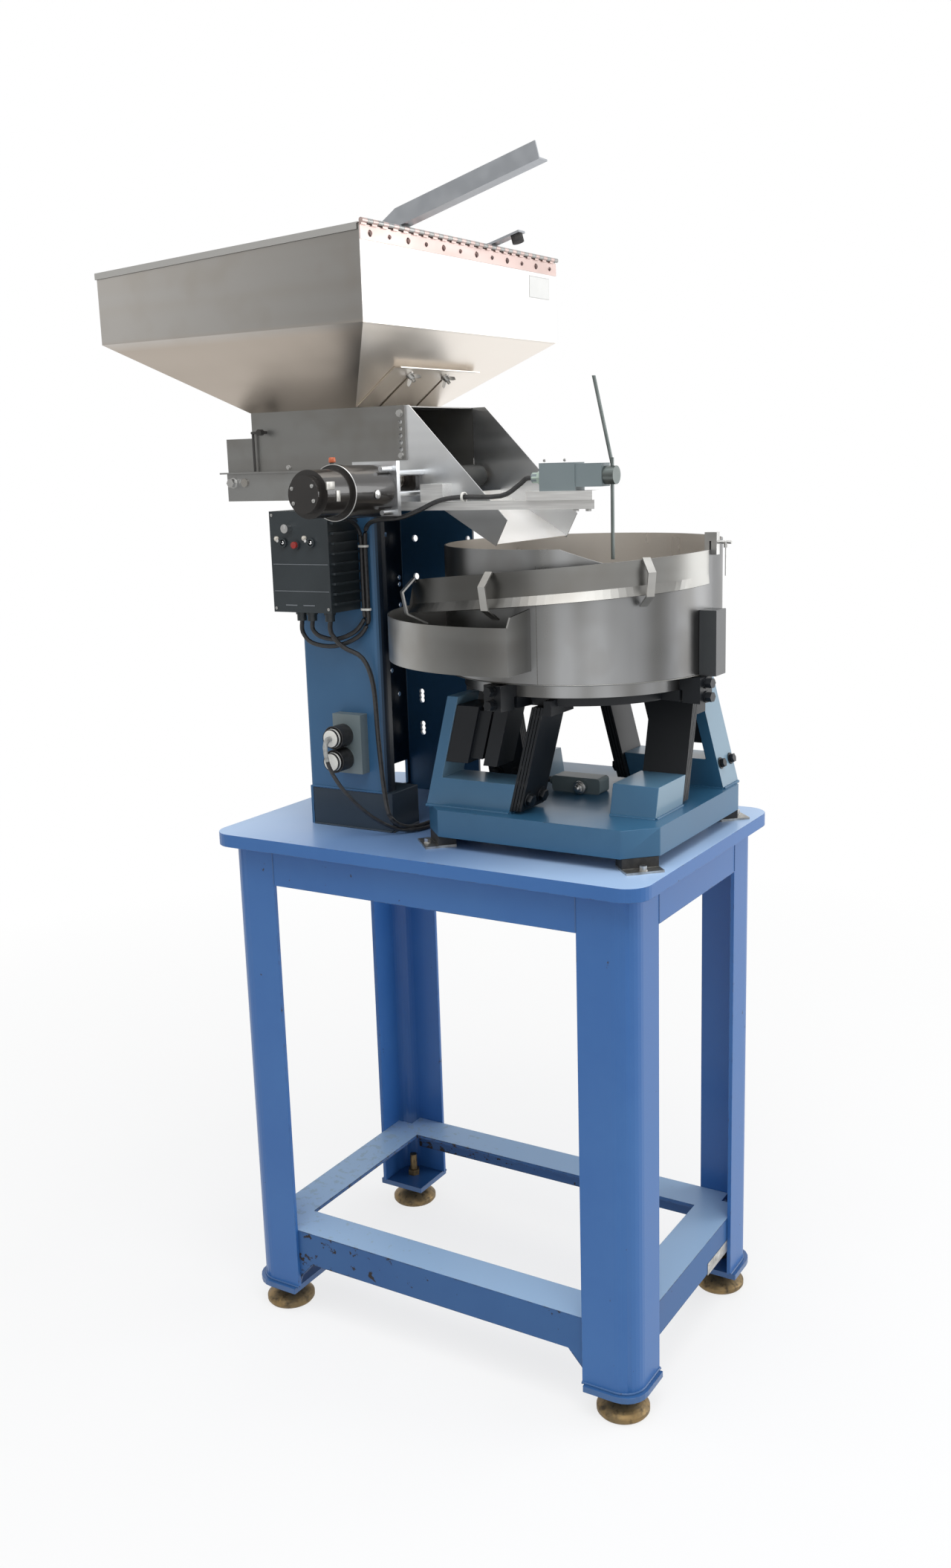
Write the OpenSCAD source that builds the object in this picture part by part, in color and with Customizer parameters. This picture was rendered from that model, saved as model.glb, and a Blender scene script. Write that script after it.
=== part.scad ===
// Vibratory bowl feeder with a bulk hopper, a belt conveyor and a steel stand.
// Layout axes: X along the front of the stand from the left legs, Y towards the back
// from the front legs, Z up from the floor. The whole model is then shifted so that its
// origin is the centre of its footprint on the floor.

/* [Stand] */
// Width over the legs
frame_w = 859; // [855:1:863]
// Depth over the legs
frame_d = 564; // [560:1:568]
// Overhang of the top plate past the legs
top_over = 25.5; // [20:0.5:30]
// Height of the work top
top_z = 1016; // [1014:1:1018]
// Thickness of the top plate
top_t = 25; // [20:1:30]
// Corner radius of the top plate
top_r = 45; // [20:1:70]
// Leg flange width
leg_w = 106; // [95:1:110]
// Leg and rail plate thickness
leg_t = 8; // [6:0.5:8]
// Outer bend radius of a leg
leg_r = 41; // [30:1:42]
// Apron height
apron_h = 72; // [50:1:90]
// Top face of the lower frame
low_z = 188; // [150:1:260]
// Vertical flange of the lower frame
low_h = 70; // [50:1:90]
// Horizontal flange of the lower frame
low_w = 79; // [60:1:90]
// Top face of the foot plates
foot_z = 62; // [60:1:66]
// Foot plate thickness
foot_t = 12; // [8:1:14]
// Foot distance from the leg faces
foot_in = 46; // [44:1:52]

/* [Column] */
// Column left face
col_x = 113; // [111:0.5:115]
// Column front face
col_y = 121; // [120:0.5:122]
// Column flange width
col_w = 180; // [178:1:182]
// Column depth
col_d = 346; // [342:1:350]
// Column plate thickness
col_t = 6; // [4:0.5:8]
// Top of the column
col_top = 1637; // [1637:1:1637]
// Height of the base block
block_h = 76; // [70:1:80]
// Depth of the base block
block_d = 90; // [80:1:94]

/* [Bowl] */
// Bowl axis, X
bowl_x = 626; // [625:0.5:627]
// Bowl axis, Y
bowl_y = 295; // [294:0.5:296]
// Bowl drum radius
bowl_r = 250; // [249:0.5:251]
// Bowl sheet thickness
bowl_t = 3; // [2:0.5:4]
// Underside of the drum
drum_z = 1328; // [1327:0.5:1329]
// Rim of the bowl
rim_z = 1555; // [1550:1:1560]
// Base ring radius
ring_r = 220; // [210:1:222]
// Base ring height
ring_h = 25; // [22:1:25]
// Height of the outer trough wall
trough_h = 42; // [36:1:48]
// Return pan radius
pan_r = 313; // [308:1:313]

/* [Drive] */
// Side of the drive base
base_w = 465; // [455:1:470]
// Thickness of the drive base
base_t = 50; // [40:1:50]
// Underside of the drive base
base_z = 1038; // [1038:1:1040]
// Lean of the spring packs, run over rise
lean = 0.26; // [0.2:0.01:0.3]
// Thickness of a spring pack
pack_t = 23; // [16:1:26]
// Width of a spring pack
pack_w = 84; // [60:1:90]

/* [Hopper] */
// Hopper left wall
hop_x0 = -185; // [-190:1:-180]
// Hopper right wall
hop_x1 = 402; // [400:1:404]
// Hopper front wall
hop_y0 = -43; // [-48:1:-38]
// Hopper back wall
hop_y1 = 631; // [626:1:636]
// Rim height at the hinge
hop_top = 2080; // [2078:1:2082]
// Rim height at the free side
hop_low = 2051; // [2048:1:2060]
// Fold between walls and cone
hop_fold = 1928; // [1920:1:1935]
// Hopper sheet thickness
hop_t = 2; // [1.5:0.5:3]

/* [Conveyor] */
// Front face of the conveyor
con_y0 = 159; // [158:0.5:160]
// Back face of the conveyor
con_y1 = 429; // [428:0.5:430]
// Conveyor sheet thickness
con_t = 2; // [1.5:0.5:3]
// Head roller axis, X
head_x = 338; // [337:0.5:339]
// Roller axis height
roll_z = 1672; // [1670:1:1673]
// Tail roller axis, X
tail_x = -36; // [-40:1:-30]
// Roller radius
roll_r = 19; // [16:0.5:20]
// Shaft radius
shaft_r = 8; // [6:0.5:9]

/* [Gate] */
// Length of the gate plate along the slope
gate_l = 108; // [100:1:112]
// Slot width
slot_w = 8; // [7:0.5:10]

/* [Controls] */
// Control box width
cb_w = 131; // [128:1:134]
// Control box depth
cb_d = 90; // [80:1:95]
// Control box height
cb_h = 182; // [178:1:186]
// Speed knob radius
knob_r = 8; // [6:0.5:10]

/* [Hidden] */
$fn = 48;

// Small seats and clearances
seat = 0.3;
run = 0.06;
// Footprint centre of the whole model
org_x = 361.25;
org_y = 244.75;

table_z0 = top_z - top_t;
leg_z1 = table_z0;
base_top = base_z + base_t;
col_x1 = col_x + col_w;
col_y1 = col_y + col_d;
block_z = top_z + block_h;
ring_z = drum_z - ring_h;
frame_z = ring_z - 20;
// Hopper cone: outlet on the throat box
out_z = 1802;
out_x0 = -12.7;
out_x1 = 235;
// Slope of the cone on the hinge side
sl_run = hop_x1 - out_x1;
sl_rise = hop_fold - out_z;
sl_a = atan2(sl_rise, sl_run);
// Lid hinge axis
hin_x = hop_x1 + 4;
hin_z = hop_top + 5;
rim_a = atan2(hop_top - hop_low, hop_x1 - hop_x0);
// Belt
belt_t = 2;
belt_r = roll_r + seat + belt_t;
// Pan centre
pan_x = 587.5;
pan_y = 273;
pan_z = 1353;
pan_h = 81;
pan_t = 2.5;
pan_x1 = 652.5;
// Control box corner
cb_x = 122;
cb_z = 1440;
cb_y = col_y - cb_d;

// Points on an arc, from angle a to angle b, in n steps
function arc(cx, cy, r, a, b, n) =
  [for (i = [0:n]) [cx + r*cos(a + (b - a)*i/n), cy + r*sin(a + (b - a)*i/n)]];
// Rounded rectangle outline
function rrect(x0, y0, x1, y1, r, n = 8) = concat(
  arc(x1 - r, y0 + r, r, -90, 0, n), arc(x1 - r, y1 - r, r, 0, 90, n),
  arc(x0 + r, y1 - r, r, 90, 180, n), arc(x0 + r, y0 + r, r, 180, 270, n));
// Sheet outline: a polyline and its parallel at distance t on the left
function unit(v) = v/norm(v);
function nrm(a, b) = let (d = unit(b - a)) [-d.y, d.x];
function miter(p, i) = let (
  k = len(p) - 1,
  a = i > 0 ? nrm(p[i - 1], p[i]) : nrm(p[i], p[i + 1]),
  b = i < k ? nrm(p[i], p[i + 1]) : a,
  m = (a + b)/2) m/(m*m);
function ribbon(p, t) = concat(p, [for (i = [len(p) - 1:-1:0]) p[i] + t*miter(p, i)]);

// A bent sheet: the outline extruded along Z
module strip(p, t, h) {
  linear_extrude(h) polygon(ribbon(p, t));
}
// Turns an XZ outline into a slab from Y = y0 to Y = y1
module xz(y0, y1) {
  translate([0, y1, 0]) rotate([90, 0, 0]) linear_extrude(y1 - y0) children();
}
// Turns a YZ outline into a slab from X = x0 to X = x1
module yz(x0, x1) {
  translate([x0, 0, 0]) rotate([90, 0, 90]) linear_extrude(x1 - x0) children();
}
module box(x0, x1, y0, y1, z0, z1) {
  translate([x0, y0, z0]) cube([x1 - x0, y1 - y0, z1 - z0]);
}
// Cylinders along X, Y and Z
module rodx(x0, x1, y, z, r) {
  translate([x0, y, z]) rotate([0, 90, 0]) cylinder(r = r, h = x1 - x0);
}
module rody(x, y0, y1, z, r) {
  translate([x, y0, z]) rotate([-90, 0, 0]) cylinder(r = r, h = y1 - y0);
}
module rodz(x, y, z0, z1, r) {
  translate([x, y, z0]) cylinder(r = r, h = z1 - z0);
}
// Closed tube of rings: each ring is a list of points
module sweep(r) {
  m = len(r);
  n = len(r[0]);
  polyhedron(
    points = [for (q = r) each q],
    faces = concat([[for (j = [0:n - 1]) j]],
      [for (i = [0:m - 2]) for (j = [0:n - 1]) [i*n + j, (i + 1)*n + j, i*n + (j + 1)%n]],
      [for (i = [0:m - 2]) for (j = [0:n - 1])
        [i*n + (j + 1)%n, (i + 1)*n + j, (i + 1)*n + (j + 1)%n]],
      [[for (j = [n - 1:-1:0]) (m - 1)*n + j]]));
}
// Ring of k points of radius r round p, square to direction d
function frame_u(d) = unit(cross(d, abs(d.z) > 0.9 ? [1, 0, 0] : [0, 0, 1]));
function ring3(p, d, r, k) = let (u = frame_u(d), v = cross(d, u))
  [for (j = [0:k - 1]) p + r*(u*cos(j*360/k) + v*sin(j*360/k))];
// Smooth path through hand-set points: s steps between each pair
function cr(a, b, c, d, t) = 0.5*((2*b) + (c - a)*t + (2*a - 5*b + 4*c - d)*t*t
  + (3*b - a - 3*c + d)*t*t*t);
function path3(p, s) = let (k = len(p) - 1) concat(
  [for (i = [0:k - 1]) for (j = [0:s - 1])
    cr(p[max(i - 1, 0)], p[i], p[i + 1], p[min(i + 2, k)], j/s)], [p[k]]);
function tang(q, i) = unit(q[min(i + 1, len(q) - 1)] - q[max(i - 1, 0)]);
module tube(p, r, s = 4, k = 8) {
  q = path3(p, s);
  sweep([for (i = [0:len(q) - 1]) ring3(q[i], tang(q, i), r, k)]);
}
// Hex head bolt standing on Z = 0, pointing up
module hexhead(r, h) {
  cylinder(r = r*1.12, h = h*0.18);
  translate([0, 0, h*0.18]) cylinder(r = r, h = h*0.82, $fn = 6);
}
// Places copies at the four legs
module at_legs(c) {
  for (p = [[c, c], [frame_w - c, c], [frame_w - c, frame_d - c], [c, frame_d - c]])
    translate(p) children();
}

module table_top() {
  color("steelblue") translate([0, 0, table_z0]) linear_extrude(top_t)
    polygon(rrect(-top_over, -top_over, frame_w + top_over, frame_d + top_over, top_r));
}
module leg() {
  strip(concat([[leg_w, 0]], arc(leg_r, leg_r, leg_r, 270, 180, 8), [[0, leg_w]]),
    -leg_t, leg_z1 - foot_z);
}
module legs() {
  color("steelblue") translate([0, 0, foot_z]) {
    leg();
    translate([frame_w, 0, 0]) mirror([1, 0, 0]) leg();
    translate([frame_w, frame_d, 0]) rotate([0, 0, 180]) leg();
    translate([0, frame_d, 0]) mirror([0, 1, 0]) leg();
  }
}
module apron_rails() {
  z0 = table_z0 - apron_h;
  color("steelblue") {
    box(leg_w, frame_w - leg_w, 0, leg_t, z0, table_z0);
    box(leg_w, frame_w - leg_w, frame_d - leg_t, frame_d, z0, table_z0);
    box(0, leg_t, leg_w, frame_d - leg_w, z0, table_z0);
    box(frame_w - leg_t, frame_w, leg_w, frame_d - leg_w, z0, table_z0);
  }
}
module lower_frame() {
  c = leg_r + 3;
  i = leg_t;
  z0 = low_z - low_h;
  color("steelblue") {
    translate([0, 0, low_z - leg_t]) linear_extrude(leg_t) difference() {
      polygon([[c, i], [frame_w - c, i], [frame_w - c, c], [frame_w - i, c],
        [frame_w - i, frame_d - c], [frame_w - c, frame_d - c], [frame_w - c, frame_d - i],
        [c, frame_d - i], [c, frame_d - c], [i, frame_d - c], [i, c], [c, c]]);
      translate([i + low_w, i + low_w])
        square([frame_w - 2*(i + low_w), frame_d - 2*(i + low_w)]);
    }
    box(c, frame_w - c, i, 2*i, z0, low_z);
    // Gussets down to the foot plates
    for (a = [0, 1]) translate([a*frame_w, 0, 0]) mirror([a, 0, 0]) xz(i, 2*i)
      polygon([[c, foot_z + seat], [100, foot_z + seat], [106, foot_z + 20],
        [138, z0], [138, z0 + 1], [c, z0 + 1]]);
    box(c, frame_w - c, frame_d - 2*i, frame_d - i, z0, low_z);
    box(i, 2*i, c, frame_d - c, z0, low_z);
    box(frame_w - 2*i, frame_w - i, c, frame_d - c, z0, low_z);
  }
}
module foot_plates() {
  o = 9;
  e = foot_in + o;
  r = leg_r + 5;
  color("steelblue") translate([0, 0, foot_z - foot_t]) linear_extrude(foot_t)
    for (a = [0, 1]) for (b = [0, 1])
      translate([a ? frame_w - foot_in : foot_in, b ? frame_d - foot_in : foot_in])
        mirror([a, 0]) mirror([0, b]) difference() {
          polygon(concat(arc(r - e, r - e, r, 180, 270, 6), [[e, -e], [e, e], [-e, e]]));
          circle(r = 8 + run);
        }
}
module leveling_feet() {
  color("darkkhaki") at_legs(foot_in) {
    rotate_extrude() polygon(concat([[0, 0], [46, 0], [49, 4], [49, 11]],
      arc(14, -20, 47, 45, 80, 5), [[12, 29], [8, 31], [8, foot_z + 50], [0, foot_z + 50]]));
    translate([0, 0, foot_z - foot_t - 12]) cylinder(r = 14, h = 12, $fn = 6);
    translate([0, 0, foot_z]) cylinder(r = 14, h = 13, $fn = 6);
  }
}
module column_base() {
  color("dimgray") box(col_x + col_t, col_x1 + 12, col_y, col_y + block_d, top_z, block_z);
}
// Lipped channel, open towards the bowl
module column_channel() {
  r = 18;
  lip = 30;
  color("steelblue") {
    translate([0, 0, block_z]) difference() {
      strip(concat([[col_x1, col_y + lip]], arc(col_x1 - r, col_y + r, r, 0, -90, 6),
        arc(col_x + 8, col_y + 8, 8, 270, 180, 4), arc(col_x + 8, col_y1 - 8, 8, 180, 90, 4),
        [[col_x1, col_y1]]), -col_t, col_top - block_z);
      // Holes in the web
      for (h = [[461, 1590], [410, 1559], [413, 1278], [437, 1225]])
        translate([0, 0, -block_z]) rodx(col_x - 5, col_x + 10, h[0] - 4, h[1], 5);
      for (h = [464, 407])
        translate([0, 0, 1000 - block_z])
          for (z = [h - 10, h + 4]) rodx(col_x - 5, col_x + 10, 450, z, 5);
      // Holes in the back flange
      for (z = [1606, 1548, 1470])
        translate([0, 0, -block_z]) rody(154, col_y1 - 20, col_y1 + 5, z, 7);
      translate([0, 0, -block_z]) rody(282, col_y1 - 20, col_y1 + 5, 1548, 5);
      for (z = [1219, 1150])
        translate([0, 0, -block_z])
          for (k = [-9, 0, 9]) rody(157, col_y1 - 20, col_y1 + 5, z + k, 6);
    }
    // Foot of the web and the back flange, beside the base block
    difference() {
      union() {
        box(col_x, col_x + col_t, col_y, col_y1 - col_t, top_z, block_z);
        box(col_x, col_x1, col_y1 - col_t, col_y1, top_z, block_z);
      }
      box(col_x - 1, col_x + col_t + 1, 381, 452, top_z + 14, top_z + 64);
    }
  }
}

// Hopper body, its faces moved in by t and its open ends run on
module hopper_solid(t) {
  e = t > 0 ? 20 : 0;
  f = e*1.35;
  m = 0.45*t;
  intersection() {
    xz(hop_y0 - 50, hop_y1 + 50) polygon([
      [hop_x0 + t, hop_low + e], [hop_x0 + t, hop_fold + m],
      [out_x0 + 1.25*t + f, out_z - e], [out_x1 - 1.25*t - f, out_z - e],
      [hop_x1 - t, hop_fold + m], [hop_x1 - t, hop_top + e]]);
    yz(hop_x0 - 50, hop_x1 + 50) polygon([
      [hop_y0 + t, hop_top + 60], [hop_y0 + t, hop_fold + m],
      [con_y0 + 1.2*t + f*1.18, out_z - e], [con_y1 - 1.2*t - f*1.18, out_z - e],
      [hop_y1 - t, hop_fold + m], [hop_y1 - t, hop_top + 60]]);
  }
}
module hopper_bin() {
  color("silver") difference() {
    hopper_solid(0);
    hopper_solid(hop_t);
    // Outlet
    box(out_x0 + hop_t, out_x1 - hop_t, con_y0 + hop_t, con_y1 - hop_t, out_z - 9, out_z + 2);
  }
}
knuck = 44;
knuck_l = (hop_y1 - hop_y0)/knuck;
module hopper_hinge() {
  color("rosybrown") {
    box(hop_x1, hop_x1 + 2, hop_y0, hop_y1, hop_top - 24, hop_top - 0.5);
    rody(hin_x, hop_y0, hop_y1, hin_z, 2.2);
    for (i = [0:2:knuck - 1]) translate([0, hop_y0 + i*knuck_l, 0]) {
      rody(hin_x, seat, knuck_l - seat, hin_z, 4);
      box(hop_x1, hin_x + 1, seat, knuck_l - seat, hop_top - 2, hin_z - 1);
    }
  }
}
module hinge_screws() {
  color("gray") for (i = [0:11])
    translate([hop_x1 + 2, hop_y0 + 28 + i*56.2, hop_top - 13]) rotate([0, 90, 0])
      cylinder(r1 = i%2 == 0 ? 5.5 : 4, r2 = i%2 == 0 ? 3.5 : 2.6, h = 2.2);
}
skirt_h = 9;
module hopper_lid() {
  t = 2;
  k = tan(rim_a);
  o = 0.5 + t;
  top = [[hop_x0 - o, hop_low + seat - o*k], [hop_x1 - 1, hop_top + seat - k],
    [hop_x1 - 1, hop_top + seat + t], [hop_x0 - o, hop_low + seat + t]];
  color("silver") difference() {
    union() {
      xz(hop_y0 - o, hop_y1 + o) polygon(top);
      // Turned-down skirts on the front, the back and the free side
      for (y = [hop_y0 - o, hop_y1 + 0.5]) xz(y, y + t) polygon([
        [hop_x0 - o, hop_low - skirt_h], [hop_x1 - 3, hop_top - skirt_h],
        [hop_x1 - 3, hop_top + seat + 1], [hop_x0 - o, hop_low + seat + 1]]);
      box(hop_x0 - o, hop_x0 - 0.5, hop_y0 - o, hop_y1 + o, hop_low - skirt_h, hop_low + 1);
      for (i = [1:2:knuck - 1]) translate([0, hop_y0 + i*knuck_l, 0]) {
        rody(hin_x, seat, knuck_l - seat, hin_z, 4);
        xz(seat, knuck_l - seat) polygon([[hop_x1 - 8, hop_top + 1.2],
          [hop_x1 - 1, hop_top + 1.2], [hin_x - 1, hin_z - 2.5], [hin_x, hin_z + 3.9],
          [hin_x - 3, hin_z + 3.9], [hop_x1 - 8, hop_top + 2.2]]);
      }
    }
    rody(hin_x, hop_y0 - 1, hop_y1 + 1, hin_z, 2.2 + run);
  }
}
// Outline of a lid arm: a foot on the lid, then a bar rising past the hinge
arm_a = 15;
function arm_xz(l, h) = let (
  x0 = hop_x1 - 60, z0 = hop_top + seat + 2 - 1*tan(rim_a),
  zf = z0 - 59*tan(rim_a),
  p = [hin_x - 6, hin_z + 5], q = p + l*[cos(arm_a), sin(arm_a)],
  n = h*[-sin(arm_a), cos(arm_a)])
  [[x0, zf + 0.1], [hop_x1 - 12, z0 - 10*tan(rim_a) + 0.1], p, q, q + n, p + n,
    [x0, zf + 5]];
module lid_arms() {
  color("silver") {
    // Long angle bar: upright web and lower flange
    xz(78, 81) polygon(arm_xz(278, 29));
    xz(81, 106) polygon(arm_xz(278, 3));
    // Short bar that carries the bumper
    xz(378, 402) polygon(arm_xz(64, 4));
  }
}
module lid_bumper() {
  c = [hin_x - 6 + 64*cos(arm_a), hin_z + 5 + 64*sin(arm_a)];
  u = [cos(arm_a), sin(arm_a)];
  n = [-sin(arm_a), cos(arm_a)];
  p = c - 12*u;
  color("black") translate([p[0], 390, p[1]]) rotate([0, 180 - arm_a, 0])
    cylinder(r = 11, h = 14);
}

// Frame of the sloping cone face: local X up the slope, local Y back, local Z outwards
module on_slope() {
  translate([out_x1, 0, out_z]) rotate([0, -sl_a, 0]) mirror([0, 0, 1]) children();
}
slot_y = [225, 345];
stud_s = 96;
module gate_plate() {
  s0 = 4;
  s1 = s0 + gate_l;
  color("gainsboro") on_slope() difference() {
    xz(156, 430) polygon([[s0, seat], [s1, seat], [s1 + 12, 10], [s1 + 11, 12],
      [s1 - 1, seat + 2], [s0, seat + 2]]);
    for (y = slot_y) {
      translate([0, y - slot_w/2, -5]) cube([stud_s, slot_w, 20]);
      translate([stud_s, y, -5]) cylinder(r = slot_w/2, h = 20);
    }
  }
}
module gate_wing_nuts() {
  color("dimgray") on_slope() for (y = slot_y) translate([stud_s, y, 0]) {
    cylinder(r = 3.2, h = 18);
    translate([0, 0, 2*seat + 2]) cylinder(r = 8, h = 1.6);
    translate([0, 0, 2*seat + 3.6]) cylinder(r1 = 6.5, r2 = 5, h = 8);
    for (a = [0, 180]) rotate([0, 0, a + 20]) translate([0, -1.2, 2*seat + 6])
      rotate([90, 0, 0]) translate([0, 0, -2.4]) linear_extrude(2.4)
        polygon([[3, 0], [8, 1], [15, 8], [14, 13], [9, 11], [3, 6]]);
  }
}

bx0 = -11;
bx1 = 322;
module throat_box() {
  t = con_t;
  color("gray") {
    box(bx0, bx1, con_y0, con_y0 + t, 1692, out_z);
    box(bx0, bx1, con_y1 - t, con_y1, 1692, out_z);
    box(bx0, bx0 + t, con_y0, con_y1, 1699, out_z);
    box(out_x1 + 0.5, bx1, con_y0, con_y1, out_z - t, out_z);
    // Tail cover
    box(-76, bx0 + 1, con_y0, con_y0 + t, 1692, 1755);
    box(-76, bx0 + 1, con_y1 - t, con_y1, 1692, 1755);
    box(-76, -76 + t, con_y0, con_y1, 1692, 1755);
    box(-76, bx0 + 1, con_y0, con_y1, 1755 - t, 1755);
  }
}
module corner_posts() {
  color("gray") for (y = [con_y0 - 4, con_y1]) difference() {
    box(bx1, bx1 + 22, y, y + 4, 1706, out_z);
    for (k = [0:4]) rody(bx1 + 12, y - 1, y + 5, 1725 + 12*k, 4);
  }
}
fr_x0 = -80;
module conveyor_frame() {
  t = 4;
  color("gray") {
    difference() {
      union() {
        box(fr_x0, bx1, con_y0, con_y0 + t, col_top, 1692);
        box(fr_x0 - 11, bx1 - 22, con_y0 - 9, con_y0 + 1, 1689, 1692);
      }
      rody(tail_x, con_y0 - 5, con_y0 + 10, roll_z, shaft_r + run);
    }
    difference() {
      union() {
        box(fr_x0, bx1, con_y1 - t, con_y1, col_top, 1692);
        box(fr_x0 - 11, bx1 - 22, con_y1 - 1, con_y1 + 9, 1689, 1692);
      }
      rody(tail_x, con_y1 - 10, con_y1 + 5, roll_z, shaft_r + run);
    }
    // Slider bed and cross plates
    box(0, 300, con_y0 + t, con_y1 - t, roll_z + 10, roll_z + roll_r - 1);
    box(0, 300, con_y0 + t, con_y1 - t, col_top, col_top + 3);
  }
}
module conveyor_belt() {
  ri = roll_r + seat;
  color("darkgreen") xz(con_y0 + 14, con_y1 - 14) difference() {
    union() {
      translate([tail_x, roll_z]) circle(r = ri + belt_t);
      translate([head_x, roll_z]) circle(r = ri + belt_t);
      translate([tail_x, roll_z - ri - belt_t])
        square([head_x - tail_x, 2*(ri + belt_t)]);
    }
    translate([tail_x, roll_z]) circle(r = ri);
    translate([head_x, roll_z]) circle(r = ri);
    translate([tail_x, roll_z - ri]) square([head_x - tail_x, 2*ri]);
  }
}
brg_y = con_y0 - 12;
module head_roller() {
  color("saddlebrown") {
    rody(head_x, con_y0 + 12, con_y1 - 12, roll_z, roll_r);
    rody(head_x, 76, con_y1 + 10, roll_z, shaft_r);
    rody(head_x, 84, 132, roll_z, 15);
  }
}
module tail_roller() {
  color("saddlebrown") {
    rody(tail_x, con_y0 + 12, con_y1 - 12, roll_z, roll_r);
    rody(tail_x, con_y0 - 3, con_y1 + 3, roll_z, shaft_r);
  }
}
module head_bearings() {
  color("dimgray") for (y = [brg_y, con_y1]) difference() {
    union() {
      xz(y, y + 12) polygon(rrect(head_x - 30, roll_z - 20, head_x + 30, roll_z + 16, 9, 4));
      rody(head_x, y - (y < 300 ? 5 : 0), y + 12 + (y < 300 ? 0 : 5), roll_z, 14);
    }
    rody(head_x, y - 9, y + 22, roll_z, shaft_r + run);
  }
}
module hex_bolts() {
  color("silver") {
    // Corner posts, conveyor rail, tail take-up
    translate([bx1 + 12, con_y0 - 4, 1788]) rotate([90, 0, 0]) hexhead(6, 5);
    translate([bx1 + 12, con_y0 - 4, 1714]) rotate([90, 0, 0]) hexhead(5, 4);
    for (x = [73, 180]) translate([x, con_y0, 1699]) rotate([90, 0, 0]) hexhead(4, 3.5);
    translate([bx1 + 12, con_y1 + 4, 1788]) rotate([-90, 0, 0]) hexhead(6, 5);
    for (y = [con_y0, con_y1]) translate([-64, y, 1672])
      rotate([y < 200 ? 90 : -90, 0, 0]) hexhead(9, 12);
    // Isolator plates of the drive
    at_iso() translate([16.5, 16.5, top_z + 4]) hexhead(7, 8);
  }
}
module hook_rod() {
  color("dimgray") {
    rody(22.6, con_y0 - 14, con_y0, 1765, 3);
    rody(22.6, con_y0 - 22, con_y0 - 12, 1765, 6);
    rodx(-6.7, 22.6, con_y0 - 7, 1765, 2.5);
    rodz(-3.5, con_y0 - 7, 1693, 1765, 2.5);
  }
}

// Side plate of the chute
chute_pts = [[bx1 + 1, out_z], [351, out_z], [548, 1598], [524, 1553], [400, 1627.5],
  [bx1 + 1, 1631]];
module chute_plate(y) {
  xz(y, y + con_t) difference() {
    polygon(chute_pts);
    translate([head_x, roll_z]) circle(r = shaft_r + 1.5);
  }
}
module chute_plate_front() {
  color("lightgray") chute_plate(con_y0);
}
module chute_plate_rear() {
  color("gray") chute_plate(con_y1 - con_t);
}
module chute_floor() {
  s = 74.5/124;
  color("lightgray") xz(con_y0 + con_t, con_y1 - con_t) polygon([
    [380, 1627.5 + 20*s + 2], [400, 1627.5 + 2], [524, 1553 + 2], [525.4, 1554.8 + 1.6],
    [400, 1631.9], [380, 1644]]);
}

mot_z = 1655;
module gearmotor() {
  color("dimgray") {
    rody(head_x, -144, -128, mot_z, 31);
    rody(head_x, -130, -59, mot_z, 40);
    rody(head_x, -59, -45, mot_z, 47);
  }
}
module gearbox() {
  color("dimgray") {
    rody(head_x, -45, 62, mot_z, 45);
    rodz(head_x - 22, -30, mot_z + 30, mot_z + 50, 5);
  }
}
so = [[304, 1648], [304, 1684], [374, 1648], [374, 1684]];
module motor_plate() {
  color("silver") {
    xz(62, 72) difference() {
      translate([head_x - 47, 1611]) square([94, 94]);
      translate([head_x, roll_z]) circle(r = 12);
    }
    for (p = so) rody(p[0], 72, con_y0, p[1], 5);
    for (x = [-37, 37]) for (z = [-37, 37]) rody(head_x + x, 27, 62, mot_z + z, 4.5);
  }
}
bar_y = 112;
bar_z = 1618;
module level_bar() {
  color("lightgray") {
    box(346, 742, bar_y, bar_y + 15, bar_z, bar_z + 15);
    box(616, 741, bar_y - 6, bar_y + 34, bar_z + 15, bar_z + 30);
  }
  color("dimgray") box(390, 437, bar_y + 15, con_y0, 1618, 1663);
}
sw_z = bar_z + 30;
wand_x = 768;
wand_z = 1672;
module level_switch() {
  color("slategray") {
    box(641, 708, bar_y - 4, bar_y + 32, sw_z, sw_z + 46);
    box(708, 756, bar_y - 2, bar_y + 30, sw_z + 6, sw_z + 44);
    rodx(620, 641, bar_y + 14, sw_z + 22, 9);
  }
}
module level_wand() {
  y = bar_y + 14;
  color("slategray") {
    rodx(756 + seat, 776, y, wand_z, 15);
    translate([wand_x, y, 0]) rodz(0, 0, wand_z, 1700, 3);
    sweep([for (q = [[wand_x, y, 1535], [wand_x, y, 1690], [736, y, 1831]])
      [for (j = [0:7]) q + [3.2*cos(45*j), 3.2*sin(45*j), 0]]]);
  }
}

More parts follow.
